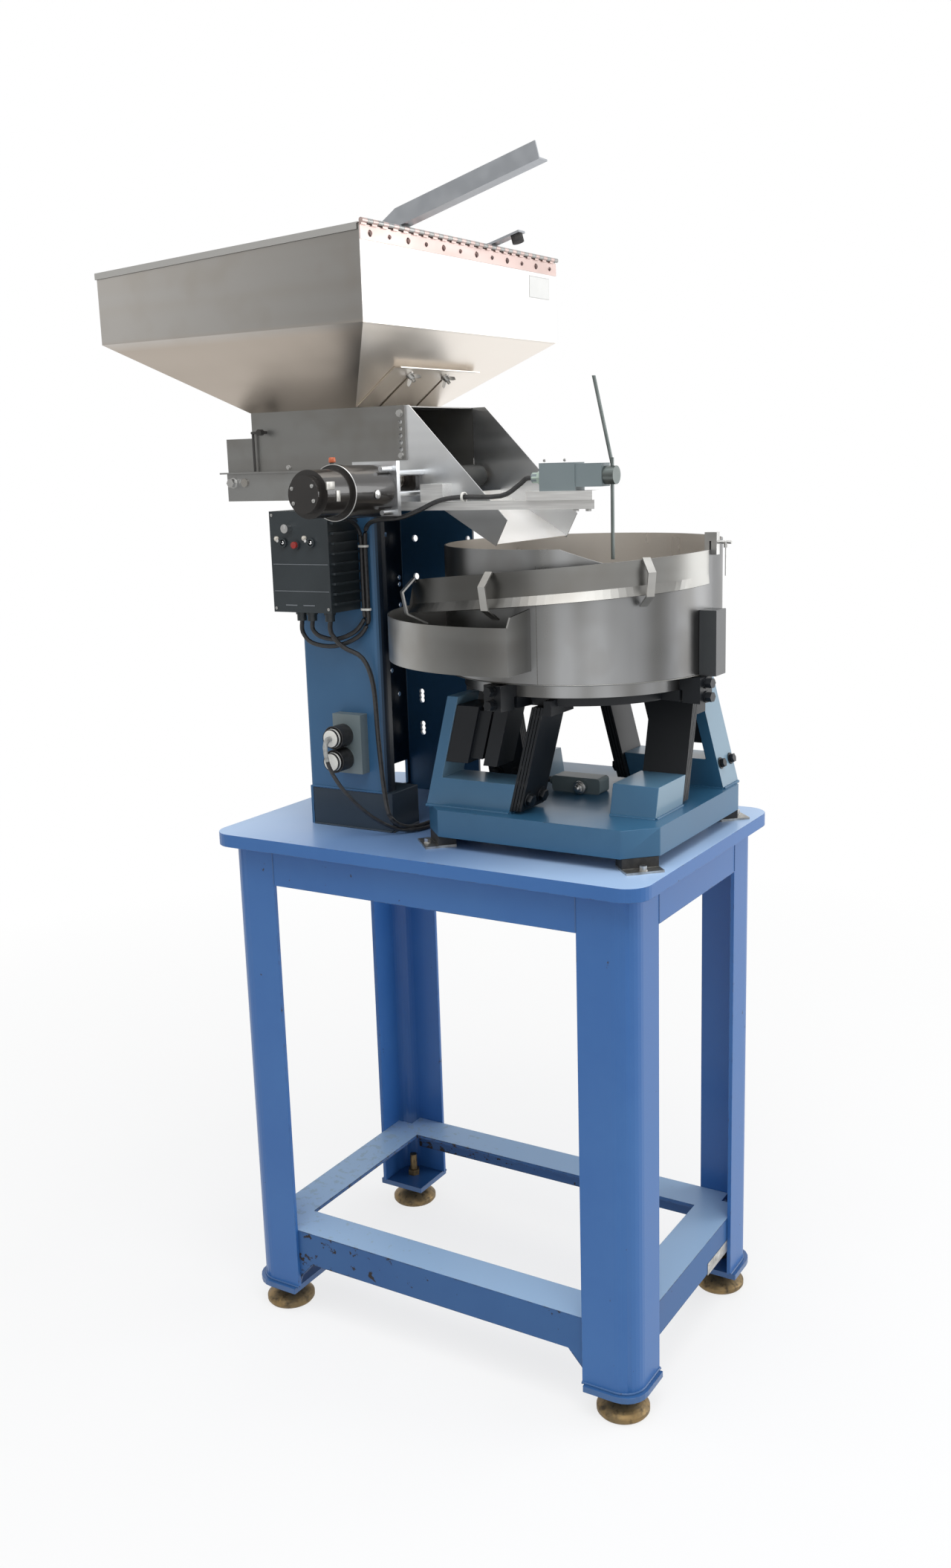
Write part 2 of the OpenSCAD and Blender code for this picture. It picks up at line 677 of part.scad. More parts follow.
knob_p = [166, 1591.5];
lamp_p = [[137.5, 1573], [200.5, 1574]];
tog_p = [[152, 1566], [215, 1566]];
btn_p = [181, 1562];
module control_box() {
  color("dimgray") {
    difference() {
      box(cb_x, cb_x + cb_w, cb_y, col_y, cb_z, cb_z + cb_h);
      rody(knob_p[0], cb_y - 1, cb_y + 10, knob_p[1], 3 + run);
      rody(btn_p[0], cb_y - 1, cb_y + 8, btn_p[1], 6 + run);
      for (p = tog_p) rody(p[0], cb_y - 1, cb_y + 6, p[1], 4.5);
    }
    // Collars of the controls
    for (p = concat(tog_p, [btn_p])) difference() {
      rody(p[0], cb_y - 4, cb_y, p[1], 8.5);
      rody(p[0], cb_y - 5, cb_y + 1, p[1], p == btn_p ? 6 + run : 5.5);
    }
    // Cooling ribs on the side
    for (k = [0:8]) box(cb_x + cb_w, cb_x + cb_w + 8, cb_y + 6, col_y - 8,
      cb_z + 14 + 18*k, cb_z + 18 + 18*k);
    // Cable glands
    for (x = [150, 174, 215]) {
      rodz(x, cb_y + 45, cb_z - 8, cb_z, 11);
      rodz(x, cb_y + 45, cb_z - 20, cb_z - 8, 9);
    }
  }
}
module speed_knob() {
  color("silver") {
    rody(knob_p[0], cb_y - 14, cb_y - seat, knob_p[1], knob_r);
    rody(knob_p[0], cb_y - 1, cb_y + 9, knob_p[1], 3);
    box(knob_p[0] - 0.8, knob_p[0] + 0.8, cb_y - 15, cb_y - 10, knob_p[1], knob_p[1] + 7);
  }
}
module pilot_lamps() {
  color("white") for (p = lamp_p) {
    rody(p[0], cb_y - 3, cb_y, p[1], 4.5);
    translate([p[0], cb_y - 3.4, p[1]]) sphere(r = 3.2);
  }
}
module toggle(p) {
  color("silver") {
    translate([p[0], cb_y - 1, p[1]]) sphere(r = 3.8);
    translate([p[0], cb_y - 1, p[1]]) rotate([90 - 14, 0, 0]) cylinder(r1 = 1.7, r2 = 2.6, h = 17);
  }
}
module toggle_left() { toggle(tog_p[0]); }
module toggle_right() { toggle(tog_p[1]); }
module push_button() {
  color("red") {
    rody(btn_p[0], cb_y - 9, cb_y + 2, btn_p[1], 6);
  }
}
rec_y = col_y - 23;
plug_r = 21.5;
plug_p = [[219, 1204], [218, 1159]];
module receptacle_box() {
  color("gray") {
    box(192, 256, rec_y, col_y, 1130, 1243);
    for (p = plug_p) rody(p[0], rec_y - 3, rec_y, p[1], 21);
  }
}
module plugs() {
  color("black") for (p = plug_p) {
    rody(p[0], rec_y - 34, rec_y - 3, p[1], plug_r);
    rody(p[0], rec_y - 46, rec_y - 34, p[1], plug_r - 4);
  }
}
// Edges of the drive base
b0x = bowl_x - base_w/2;
b1x = bowl_x + base_w/2;
b0y = bowl_y - base_w/2;
b1y = bowl_y + base_w/2;
// Routes of the cables
lev_x = 276;
mot_x = lev_x - 8.8;
bun_y = col_y - 9;
lev_pts = [[150, 76, 1419.6], [150, 76, 1398], [168, 80, 1378], [210, 92, 1372],
  [252, 108, 1388], [lev_x - 2, bun_y, 1415], [lev_x, bun_y, 1440], [lev_x, bun_y, 1500],
  [lev_x, bun_y, 1560], [284, 108, 1590], [310, 103, 1602], [360, 103, 1606],
  [400, 103, 1618], [440, 105, 1634], [480, 112, 1640], [560, 118, 1641],
  [592, 124, 1658], [606, 126, 1669], [619.5, 126, 1670]];
mot_pts = [[174, 76, 1419.6], [174, 76, 1404], [186, 81, 1391], [214, 93, 1385],
  [246, 107, 1398], [mot_x - 1, bun_y, 1422], [mot_x, bun_y, 1440], [mot_x, bun_y, 1500],
  [mot_x, bun_y, 1560], [268, 106, 1582], [272, 86, 1598], [279, 56, 1608],
  [288, 32, 1617], [299.5, 20, 1626.1]];
module level_cable() {
  color("black") {
    tube(lev_pts, 4.2, 4);
    tube(mot_pts, 4.2, 4);
  }
}
gap_x = (col_x1 + 12 + b0x)/2;
drv_pts = [[215, 76, 1419.6], [216, 76, 1398], [232, 88, 1372], [264, 104, 1350],
  [284, 106, 1300], [290, 106, 1200], [300, 104, 1100], [316, 100, 1050],
  [gap_x - 19, 140, 1026], [gap_x - 9, 220, 1023], [gap_x + 3, 280, 1026],
  [b0x - 21.5, 286, 1060], [b0x - 5.5, 281, base_top + 6], [420, 278, base_top + 8],
  [490, 275.4, base_top + 7], [507, 277, base_top + 10], [532, 291, base_top + 16],
  [552.3, 296, base_top + 18]];
plug_pts = [[219, rec_y - 46.3, 1204], [219, 42, 1203], [222, 31, 1192], [231, 24, 1166],
  [243, 27, 1138], [256, 38, 1110], [272, 57, 1080], [292, 80, 1052],
  [gap_x - 32, 112, 1028], [gap_x - 6, 150, 1021], [gap_x + 5, 215, 1020.8],
  [gap_x + 17, 280, 1023], [b0x - 14, 304, 1056], [b0x - 3, 299, base_top + 6],
  [420, 287.2, base_top + 6], [490, 284.8, base_top + 7], [507, 286, base_top + 10],
  [532, 304, base_top + 16],
  [552.3, 314, base_top + 18]];
module drive_cable() {
  color("black") {
    tube(drv_pts, 4.5, 4);
    tube(plug_pts, 3.8, 4);
  }
}
module cable_ties() {
  color("white") {
    for (z = [1555, cb_z]) translate([0, 0, z - 2]) linear_extrude(4) difference() {
      polygon(rrect(mot_x - 6.2, bun_y - 6.2, lev_x + 6.2, bun_y + 6.2, 6.2, 5));
      polygon(rrect(mot_x - 4.9, bun_y - 4.9, lev_x + 4.9, bun_y + 4.9, 4.9, 5));
    }
    difference() {
      rodx(488, 492, 112, 1640, 9);
      rodx(487, 493, 112, 1640, 7.2);
      box(480, 500, 100, 130, 1628, 1633.2);
    }
  }
}

// Bowl
module at_bowl() { translate([bowl_x, bowl_y, 0]) children(); }
module bowl_shell() {
  ri = bowl_r - bowl_t;
  color("silver") at_bowl() difference() {
    union() {
      rotate_extrude($fn = 96) polygon([[ring_r - 30, ring_z], [ring_r, ring_z],
        [ring_r, drum_z], [bowl_r, drum_z], [bowl_r, rim_z], [ri, rim_z],
        [ri, drum_z + 12], [0, drum_z + 36], [0, drum_z + 33], [ri - 4, drum_z + 9],
        [ring_r - 30, drum_z + 5]]);
    }
    // Lowered front of the rim, where the trough leaves the bowl
    xz(-bowl_r - 20, 0) polygon([[77, rim_z + 5], [77, rim_z],
      [140, 1531], [200, 1534], [252, 1541], [252, rim_z + 5]]);
  }
}
// Ledge that climbs round the inside of the drum
turns = 1.75;
trk_w = 34;
function trk_z(a) = 1352 + (1527 - 1352)*a/(360*turns);
module bowl_track() {
  n = round(turns*72);
  ro = bowl_r - bowl_t - seat;
  color("silver") at_bowl() sweep([for (i = [0:n]) let (
      a = i*360*turns/n, t = a - 360*turns - 8, z = trk_z(a), c = cos(t), s = sin(t))
    [[ro*c, ro*s, z - 3], [(ro - trk_w)*c, (ro - trk_w)*s, z - 7],
      [(ro - trk_w)*c, (ro - trk_w)*s, z - 4], [ro*c, ro*s, z]]]);
}
// Outer trough: radius and top height against the angle back from the right side
tr_a0 = 6;
tr_a1 = 134;
function tr_r(a) = bowl_r + 3 + 62*(a - tr_a0)/(tr_a1 - tr_a0);
function tr_z(a) = 1542 - 0.06*a - 0.0019*a*a;
function tr_p(r, a, z) = [r*cos(-a), r*sin(-a), z];
module outer_trough() {
  t = 2.5;
  n = 48;
  color("silver") at_bowl() sweep([for (i = [0:n]) let (
      a = tr_a0 + (tr_a1 - tr_a0)*i/n, r = tr_r(a), z = tr_z(a), b = z - trough_h,
      q = max(0.15, min(1, (a - tr_a0)/25)))
    [tr_p(r, a, b), tr_p(bowl_r + seat, a, b), tr_p(bowl_r + seat, a, b - t),
      tr_p(r, a, b - t), tr_p(r + 9*q, a, b - 16), tr_p(r + t + 9*q, a, b - 15),
      tr_p(r + t, a, b), tr_p(r + t, a, z), tr_p(r, a, z)]]);
}
// Sheet pan round the front and left of the drum: wall and floor in one turn, with an
// upright plate closing each end
module pan_sheet(a0, a1) {
  translate([pan_x, pan_y, 0]) rotate_extrude(start = a0, angle = a1 - a0, $fn = 96)
    polygon([[150, pan_z], [pan_r, pan_z], [pan_r, pan_z + pan_h],
      [pan_r - pan_t, pan_z + pan_h], [pan_r - pan_t, pan_z + pan_t], [150, pan_z + pan_t]]);
}
module return_pan() {
  e = pan_r - pan_t/2;
  color("silver") difference() {
    union() {
      pan_sheet(110, 290);
      yz(pan_x1 - 3, pan_x1) polygon([[pan_y - 304, pan_z + 1], [60, pan_z + 1], [60, 1459],
        [-20, 1450], [pan_y - 304, pan_z + pan_h - 1]]);
      translate([pan_x, pan_y, 0]) rotate([0, 0, 120])
        box(200, e, 0, 3, pan_z + 1, pan_z + pan_h - 1);
    }
    // Cut past both end plates
    box(pan_x1, pan_x1 + 200, -100, 200, pan_z - 1, 1470);
    translate([pan_x, pan_y, 0]) rotate([0, 0, 120])
      box(100, 400, -200, 0, pan_z - 1, 1470);
    at_bowl() rodz(0, 0, pan_z - 1, 1470, bowl_r + seat, $fn = 96);
  }
}
// Bent straps across the trough wall
module strap_brackets() {
  color("silver") at_bowl() for (a = [41, 94, 131]) {
    r = tr_r(a) + 2.5 + 4*seat;
    z = tr_z(a);
    rotate([0, 0, -a]) xz(-7, 7) polygon(ribbon([[r, z + 1], [r + 22, z - 21],
      [r + 15, z - 58], [r - 12 - (a - 41)*0.1, z - 76]], 3));
  }
}
cw_h = 113;
module counterweight() {
  color("dimgray") difference() {
    box(bowl_x + bowl_r - 14, bowl_x + bowl_r + 27, bowl_y - 48, bowl_y - 4, drum_z, drum_z + cw_h);
    at_bowl() rodz(0, 0, drum_z - 8, drum_z + cw_h + 9, bowl_r + seat, $fn = 96);
  }
}
clamp_a = [-10, 80, 170, 260];
module bowl_clamps() {
  color("dimgray") at_bowl() for (a = clamp_a) rotate([0, 0, a]) {
    difference() {
      box(198, 262, -19, 19, frame_z - 2, drum_z - 2);
      rodz(0, 0, ring_z - seat, drum_z, ring_r + seat, $fn = 96);
      box(190, 226, -30, 30, frame_z - 10, ring_z);
    }
    for (z = [frame_z + 9, drum_z - 12]) translate([262, 0, z]) rotate([0, 90, 0])
      rotate([0, 0, 30]) hexhead(9, 14);
  }
}
module nozzle_fitting() {
  x = bowl_x + bowl_r;
  color("dimgray") {
    difference() {
      box(x - 12, x + 10, 288, 302, 1532, 1570);
      at_bowl() difference() {
        rodz(0, 0, 1500, rim_z + seat, bowl_r + seat, $fn = 96);
        rodz(0, 0, 1500, rim_z + seat, bowl_r - bowl_t - seat, $fn = 96);
      }
    }
    rodx(x + 10, x + 34, 295, 1553, 3);
    rodz(x + 24, 295, 1544, 1553, 4);
    rodz(x + 24, 295, 1496, 1544, 1.2);
  }
}

// Drive
// Places copies at the four corners of the base, local X and Y pointing inwards
module at_iso() {
  for (a = [0, 1]) for (b = [0, 1]) translate([a*b1x + (1 - a)*b0x, b*b1y + (1 - b)*b0y, 0])
    mirror([a, 0, 0]) mirror([0, b, 0]) children();
}
module drive_base() {
  c = 50;
  color("steelblue") translate([0, 0, base_z]) linear_extrude(base_t)
    polygon([[b0x + c, b0y], [b1x - c, b0y], [b1x, b0y + c], [b1x, b1y - c],
      [b1x - c, b1y], [b0x + c, b1y], [b0x, b1y - c], [b0x, b0y + c]]);
}
// Start of each spring pack at the base, along the bank
function pack_s(k) = k == 0 ? -49 : k == 2 ? -33 : -22;
// Underside of the magnets
mag_z = 1172;
// Front upright, seen from the front: block with an inclined end and a leaning plate
blk_h = 54;
up_h = 205;
fy = 90 - 295;
module upright(e) {
  l = lean;
  xz(fy, fy + 76) translate([0, base_top]) {
    polygon([[-201, 0], [e, 0], [e + l*blk_h, blk_h], [-201 + l*blk_h, blk_h]]);
    polygon([[-223, 0], [-201, 0], [-201 + l*up_h, up_h], [-223 + l*up_h, up_h]]);
  }
}
module side_block() {
  l = lean;
  xz(fy, fy + 88) translate([0, base_top])
    polygon([[-140, 0], [-22, 0], [-22 + l*blk_h, blk_h], [-140 + l*blk_h, blk_h]]);
}
module drive_uprights() {
  color("steelblue") at_bowl() for (a = [0, 180]) {
    rotate([0, 0, a]) upright(pack_s(a/90));
    rotate([0, 0, a + 90]) side_block();
  }
}
module spring(s, y0, t, w) {
  n = 4;
  z0 = base_top + 6;
  z1 = frame_z - seat;
  g = (t - (n - 1)*1.5)/n;
  // Leaves with thin gaps
  for (i = [0:n - 1]) {
    a = s + lean*6 + 0.2 + i*(g + 1.5);
    xz(y0, y0 + w) polygon([[a, z0], [a + g, z0], [a + g + lean*(z1 - z0), z1],
      [a + lean*(z1 - z0), z1]]);
  }
  // Spacers at both ends
  for (zz = [[z0 + 4, z0 + 40], [z1 - 34, z1 - 4]]) {
    a = s + lean*6 + 0.2 + lean*(zz[0] - z0);
    h = zz[1] - zz[0];
    xz(y0 + 6, y0 + w - 6) polygon([[a + 1, zz[0]], [a + t - 1, zz[0]],
      [a + t - 1 + lean*h, zz[1]], [a + 1 + lean*h, zz[1]]]);
  }
}
module leaf_springs() {
  color("black") at_bowl() for (k = [0:3])
    rotate([0, 0, 90*k]) spring(pack_s(k), fy, pack_t, pack_w);
}
// Black armature frame under the bowl: disc, arms and spring clamp blocks
module armature_frame() {
  color("dimgray") at_bowl() {
    rodz(0, 0, frame_z, ring_z, 185);
    for (a = clamp_a) rotate([0, 0, a]) box(150, 222, -22, 22, frame_z, ring_z);
    for (k = [0:3]) rotate([0, 0, 90*k]) {
      // Block behind each pack, leaning with it, deep at the sides only
      w = k%2 == 0 ? 18 : 40;
      z0 = frame_z - (k%2 == 0 ? 14 : 40);
      s = pack_s(k) + lean*6 + 0.2 + pack_t + seat + lean*(z0 - base_top - 6);
      h = frame_z - z0;
      xz(fy, fy + pack_w) polygon([[s, z0], [s + w, z0], [s + w, frame_z + 12],
        [s + lean*h, frame_z + 12], [s + lean*h, frame_z]]);
      box(s + 4, s + w, fy + 10, fy + pack_w + 30, frame_z, frame_z + 12);
    }
    // Armature plates facing the magnets
    z2 = mag_z - 2;
    h2 = frame_z + 10 - z2;
    for (a = [0, 180]) rotate([0, 0, a])
      xz(fy + 6, fy + 66) polygon([[-103, z2], [-75, z2], [-75 + lean*h2, z2 + h2],
        [-103 + lean*h2, z2 + h2]]);
  }
}
module magnets() {
  color("black") at_bowl() for (a = [0, 180]) rotate([0, 0, a]) {
    l = lean;
    x = -201 + l*(mag_z - base_top) + 0.1;
    h = frame_z - 6 - mag_z;
    xz(fy + 2, fy + 74) polygon([[x, mag_z], [x + 46, mag_z], [x + 46 + l*h, mag_z + h],
      [x + l*h, mag_z + h]]);
    // Coil, a little smaller all round
    u = x + 45 + l*8;
    k = h - 16;
    xz(fy + 10, fy + 64) polygon([[u, mag_z + 8], [u + 25, mag_z + 8],
      [u + 25 + l*k, mag_z + 8 + k], [u + l*k, mag_z + 8 + k]]);
  }
}
module isolators() {
  color("black") at_iso() {
    translate([25, 25, 0]) rotate([0, 0, 45]) {
      box(-24, 34, -34, 34, top_z, top_z + 4);
      box(0.5, 34, -33, 33, top_z + 4, base_z);
    }
  }
}
module junction_box() {
  color("gray") {
    xz(285, 325) polygon(rrect(560, base_top, 660, base_top + 30, 6, 3));
    rody(624, 273, 285, base_top + 14, 11);
    for (y = [296, 314]) rodx(553.6, 562, y, base_top + 18, 7.5);
  }
}

module placed() { translate([-org_x, -org_y, 0]) children(); }
placed() {
  table_top();
  legs();
  apron_rails();
  lower_frame();
  foot_plates();
  leveling_feet();
  column_base();
  column_channel();
  hopper_bin();
  hopper_hinge();
  hinge_screws();
  hopper_lid();
  lid_arms();
  lid_bumper();
  gate_plate();
  gate_wing_nuts();
  throat_box();
  corner_posts();
  conveyor_frame();
  conveyor_belt();
  head_roller();
  tail_roller();
  hex_bolts();
  hook_rod();
  chute_plate_front();
  chute_plate_rear();
  chute_floor();
  gearmotor();
  gearbox();
  motor_plate();
  head_bearings();
  level_bar();
  level_switch();
  level_wand();
  control_box();
  speed_knob();
  pilot_lamps();
  toggle_left();
  toggle_right();
  push_button();
  receptacle_box();
  plugs();
  level_cable();
  drive_cable();
  bowl_shell();
  bowl_track();
  outer_trough();
  return_pan();
  strap_brackets();
  counterweight();
  bowl_clamps();
  nozzle_fitting();
  drive_base();
  drive_uprights();
  leaf_springs();
  magnets();
  armature_frame();
  isolators();
  junction_box();
  cable_ties();
}
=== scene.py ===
import math

import bmesh
import bpy
from mathutils import Matrix, Vector


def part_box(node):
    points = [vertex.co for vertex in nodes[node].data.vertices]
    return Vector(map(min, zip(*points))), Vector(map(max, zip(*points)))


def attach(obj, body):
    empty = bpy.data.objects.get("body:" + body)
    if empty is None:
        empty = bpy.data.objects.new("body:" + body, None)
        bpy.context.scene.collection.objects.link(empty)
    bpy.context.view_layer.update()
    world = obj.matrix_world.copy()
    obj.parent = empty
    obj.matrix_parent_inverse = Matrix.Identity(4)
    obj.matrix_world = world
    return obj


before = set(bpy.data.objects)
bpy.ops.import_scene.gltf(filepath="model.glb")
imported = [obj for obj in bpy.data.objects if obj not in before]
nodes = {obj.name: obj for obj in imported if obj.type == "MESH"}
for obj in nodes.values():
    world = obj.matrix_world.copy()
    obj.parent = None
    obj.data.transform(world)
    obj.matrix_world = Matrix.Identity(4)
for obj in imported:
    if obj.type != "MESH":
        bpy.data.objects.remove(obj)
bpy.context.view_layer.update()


# ---- Camera ------------------------------------------------------------------------------
# The feeder is seen from its front right corner, a little above the drive's height and
# looking slightly down, with the camera tipped by under two degrees.
camera_place = Vector((1.46241, -2.30896, 1.70315))
look = Vector((-0.50815, 0.83292, -0.21917)).normalized()
roll = -0.0301
level_right = look.cross(Vector((0, 0, 1))).normalized()
level_up = level_right.cross(look)
tipped_right = level_right * math.cos(roll) + level_up * math.sin(roll)
tipped_up = level_up * math.cos(roll) - level_right * math.sin(roll)
lens = bpy.data.cameras.new("camera")
lens.sensor_fit = "VERTICAL"
lens.sensor_height = 36.0
lens.sensor_width = 36.0
lens.lens = 33.149
lens.clip_end = 60.0
camera = bpy.data.objects.new("camera", lens)
camera.matrix_world = Matrix.Translation(camera_place) @ Matrix(
    (tipped_right, tipped_up, -look)).transposed().to_4x4()
bpy.context.scene.collection.objects.link(camera)
bpy.context.scene.camera = camera


# ---- Studio floor, walls of light and lamps ----------------------------------------------
# A plain white sweep under the feeder, white surroundings, a large soft panel behind the
# right hand side, a soft panel overhead, and one grey card at the front left that metal shows.
def step(tree, kind, feeds=(), **settings):
    """One node of a finish, with its inputs linked or set."""
    made = tree.nodes.new("ShaderNode" + kind)
    for key, value in settings.items():
        setattr(made, key, value)
    for socket, value in dict(feeds).items():
        if isinstance(value, bpy.types.NodeSocket):
            tree.links.new(value, made.inputs[socket])
        else:
            made.inputs[socket].default_value = value
    return made


def seen_directly(tree):
    """1 for what the camera, a mirror or a lens sees, and 0 for light that falls on things."""
    path = step(tree, "LightPath")
    seen = step(tree, "Math", {0: path.outputs["Is Camera Ray"],
                               1: path.outputs["Is Glossy Ray"]}, operation="ADD")
    return step(tree, "Math", {0: seen.outputs[0], 1: path.outputs["Is Transmission Ray"]},
                operation="ADD", use_clamp=True).outputs[0]


world = bpy.data.worlds.new("white_surroundings")
bpy.context.scene.world = world
world.use_nodes = True
sky = world.node_tree
sky.nodes.clear()
shown = step(sky, "Background", {"Color": (1, 1, 1, 1), "Strength": 1.0})
lit = step(sky, "Background", {"Color": (0.97, 0.985, 1, 1), "Strength": 0.62})
both = step(sky, "MixShader", {0: seen_directly(sky), 1: lit.outputs[0], 2: shown.outputs[0]})
sky.links.new(both.outputs[0], step(sky, "OutputWorld").inputs[0])

floor_mesh = bmesh.new()
bmesh.ops.create_grid(floor_mesh, x_segments=1, y_segments=1, size=14.0)
floor_data = bpy.data.meshes.new("floor")
floor_mesh.to_mesh(floor_data)
floor_mesh.free()
floor = bpy.data.objects.new("floor", floor_data)
bpy.context.scene.collection.objects.link(floor)
floor_finish = bpy.data.materials.new("white_floor")
floor_finish.use_nodes = True
tree = floor_finish.node_tree
tree.nodes.clear()
speckle = step(tree, "TexNoise", {"Vector": step(tree, "TexCoord").outputs["Object"],
                                  "Scale": 3.0, "Detail": 3.0})
tone = step(tree, "MapRange", {"Value": speckle.outputs[0], "To Min": 0.84, "To Max": 0.88})
paint = step(tree, "BsdfDiffuse", {"Color": tone.outputs[0]})
glow = step(tree, "Emission", {"Color": (1, 1, 1, 1), "Strength": 1.0})
far = step(tree, "VectorMath", {0: step(tree, "TexCoord").outputs["Object"]},
           operation="LENGTH").outputs[1]
fade = step(tree, "MapRange", {"Value": far, "From Min": 1.0, "From Max": 3.2,
                               "To Min": 0.74, "To Max": 1.0})
share = step(tree, "Math", {0: seen_directly(tree), 1: fade.outputs[0]}, operation="MULTIPLY")
mixed = step(tree, "MixShader", {0: share.outputs[0], 1: paint.outputs[0], 2: glow.outputs[0]})
tree.links.new(mixed.outputs[0], step(tree, "OutputMaterial").inputs[0])
floor_data.materials.append(floor_finish)

card_mesh = bmesh.new()
bmesh.ops.create_grid(card_mesh, x_segments=1, y_segments=1, size=1.0,
                      matrix=Matrix.Translation((-3.1, -3.7, 1.5))
                      @ Matrix.Rotation(math.radians(-40), 4, "Z")
                      @ Matrix.Rotation(math.radians(90), 4, "X")
                      @ Matrix.Diagonal((3.4, 2.2, 1, 1)))
card_data = bpy.data.meshes.new("grey_card")
card_mesh.to_mesh(card_data)
card_mesh.free()
card = bpy.data.objects.new("grey_card", card_data)
bpy.context.scene.collection.objects.link(card)
card_finish = bpy.data.materials.new("grey_card_cloth")
card_finish.use_nodes = True
tree = card_finish.node_tree
tree.nodes.clear()
spot = step(tree, "SeparateXYZ", {0: step(tree, "TexCoord").outputs["Object"]})
sideways = step(tree, "MapRange", {"Value": spot.outputs[0], "From Min": -5.2,
                                   "From Max": -1.4, "To Min": 0.95, "To Max": 0.48})
upwards = step(tree, "MapRange", {"Value": spot.outputs[2], "From Min": 0.9,
                                  "From Max": 2.1, "To Min": 0.42, "To Max": 1.0})
card_tone = step(tree, "Math", {0: sideways.outputs[0], 1: upwards.outputs[0]},
                 operation="MULTIPLY")
tree.links.new(step(tree, "Emission", {"Color": (1, 0.99, 0.97, 1),
                                       "Strength": card_tone.outputs[0]}).outputs[0],
               step(tree, "OutputMaterial").inputs[0])
card_data.materials.append(card_finish)
card.visible_camera = False
card.visible_diffuse = False
card.visible_shadow = False

for lamp_name, place, target, size, power in (
        ("right_panel", (3.6, 2.6, 1.9), (0.2, 0.0, 1.6), 3.0, 80.0),
        ("top_panel", (0.8, -1.2, 4.6), (0.1, 0.0, 1.2), 3.0, 110.0)):
    panel = bpy.data.lights.new(lamp_name, "AREA")
    panel.shape = "SQUARE"
    panel.size = size
    panel.energy = power
    panel_object = bpy.data.objects.new(lamp_name, panel)
    panel_object.location = place
    panel_object.rotation_euler = (Vector(target) - Vector(place)).to_track_quat(
        "-Z", "Y").to_euler()
    panel_object.visible_camera = False
    bpy.context.scene.collection.objects.link(panel_object)
bpy.context.scene.view_settings.view_transform = "Standard"


# ---- Legs, aprons, table top and lower frame ---------------------------------------------
# The stand is a welded frame of folded steel angle, with a rounded-corner plate on top. It
# is sprayed in a light blue machine enamel, which has chipped to dark steel on its edges.
def group_of(name, ins, outs):
    """An empty node group with named inputs and outputs."""
    made = bpy.data.node_groups.new(name, "ShaderNodeTree")
    for label, kind, value in ins:
        socket = made.interface.new_socket(label, in_out="INPUT",
                                           socket_type="NodeSocket" + kind)
        if value is not None:
            socket.default_value = value
    for label, kind in outs:
        made.interface.new_socket(label, in_out="OUTPUT", socket_type="NodeSocket" + kind)
    return made, made.nodes.new("NodeGroupInput"), made.nodes.new("NodeGroupOutput")


def blended(tree, share, first, second):
    """The colour between two colours."""
    return step(tree, "Mix", {0: share, 6: first, 7: second}, data_type="RGBA").outputs[2]


def sum_of(tree, first, second, kind="ADD", clamp=False):
    return step(tree, "Math", {0: first, 1: second}, operation=kind,
                use_clamp=clamp).outputs[0]


def ranged(tree, value, low, high, to_low=0.0, to_high=1.0):
    return step(tree, "MapRange", {"Value": value, "From Min": low, "From Max": high,
                                   "To Min": to_low, "To Max": to_high}).outputs[0]


enamel, enamel_in, enamel_out = group_of(
    "chipped_enamel",
    (("Vector", "Vector", None), ("Paint", "Color", (0.05, 0.15, 0.36, 1)),
     ("Faded", "Color", (0.1, 0.2, 0.4, 1)), ("Bare", "Color", (0.03, 0.03, 0.035, 1)),
     ("Wear", "Float", 0.4), ("Edge", "Float", 0.003), ("Gloss", "Float", 0.35)),
    (("Color", "Color"), ("Roughness", "Float"), ("Height", "Float")))
place = enamel_in.outputs["Vector"]
broad = step(enamel, "TexNoise", {"Vector": place, "Scale": 3.5, "Detail": 4.0,
                                  "Roughness": 0.6}).outputs[0]
fine = step(enamel, "TexNoise", {"Vector": place, "Scale": 240.0, "Detail": 2.0}).outputs[0]
chips = step(enamel, "TexNoise", {"Vector": place, "Scale": 48.0, "Detail": 6.0,
                                  "Roughness": 0.68}).outputs[0]
turned = step(enamel, "Bevel", {"Radius": enamel_in.outputs["Edge"]}, samples=4).outputs[0]
facing = step(enamel, "NewGeometry").outputs["Normal"]
along = step(enamel, "VectorMath", {0: turned, 1: facing}, operation="DOT_PRODUCT").outputs[1]
on_edge = ranged(enamel, along, 0.995, 0.80)
spots = sum_of(enamel, chips, sum_of(enamel, on_edge, 0.20, "MULTIPLY"))
limit = sum_of(enamel, 0.86, sum_of(enamel, enamel_in.outputs["Wear"], 0.20, "MULTIPLY"),
               "SUBTRACT")
chipped = step(enamel, "MapRange", {"Value": spots, "From Min": limit,
                                    "From Max": sum_of(enamel, limit, 0.02)}).outputs[0]
mottled = blended(enamel, ranged(enamel, broad, 0.38, 0.72, 0.0, 0.75),
                  enamel_in.outputs["Paint"], enamel_in.outputs["Faded"])
rubbed = blended(enamel, sum_of(enamel, on_edge, 0.35, "MULTIPLY"), mottled,
                 enamel_in.outputs["Faded"])
enamel.links.new(blended(enamel, chipped, rubbed, enamel_in.outputs["Bare"]),
                 enamel_out.inputs["Color"])
enamel.links.new(sum_of(enamel, sum_of(enamel, enamel_in.outputs["Gloss"],
                                       ranged(enamel, broad, 0.3, 0.7, -0.05, 0.10)),
                        sum_of(enamel, chipped, 0.28, "MULTIPLY")),
                 enamel_out.inputs["Roughness"])
enamel.links.new(sum_of(enamel, sum_of(enamel, fine, 0.35, "MULTIPLY"),
                        sum_of(enamel, chipped, 0.9, "MULTIPLY"), "SUBTRACT"),
                 enamel_out.inputs["Height"])


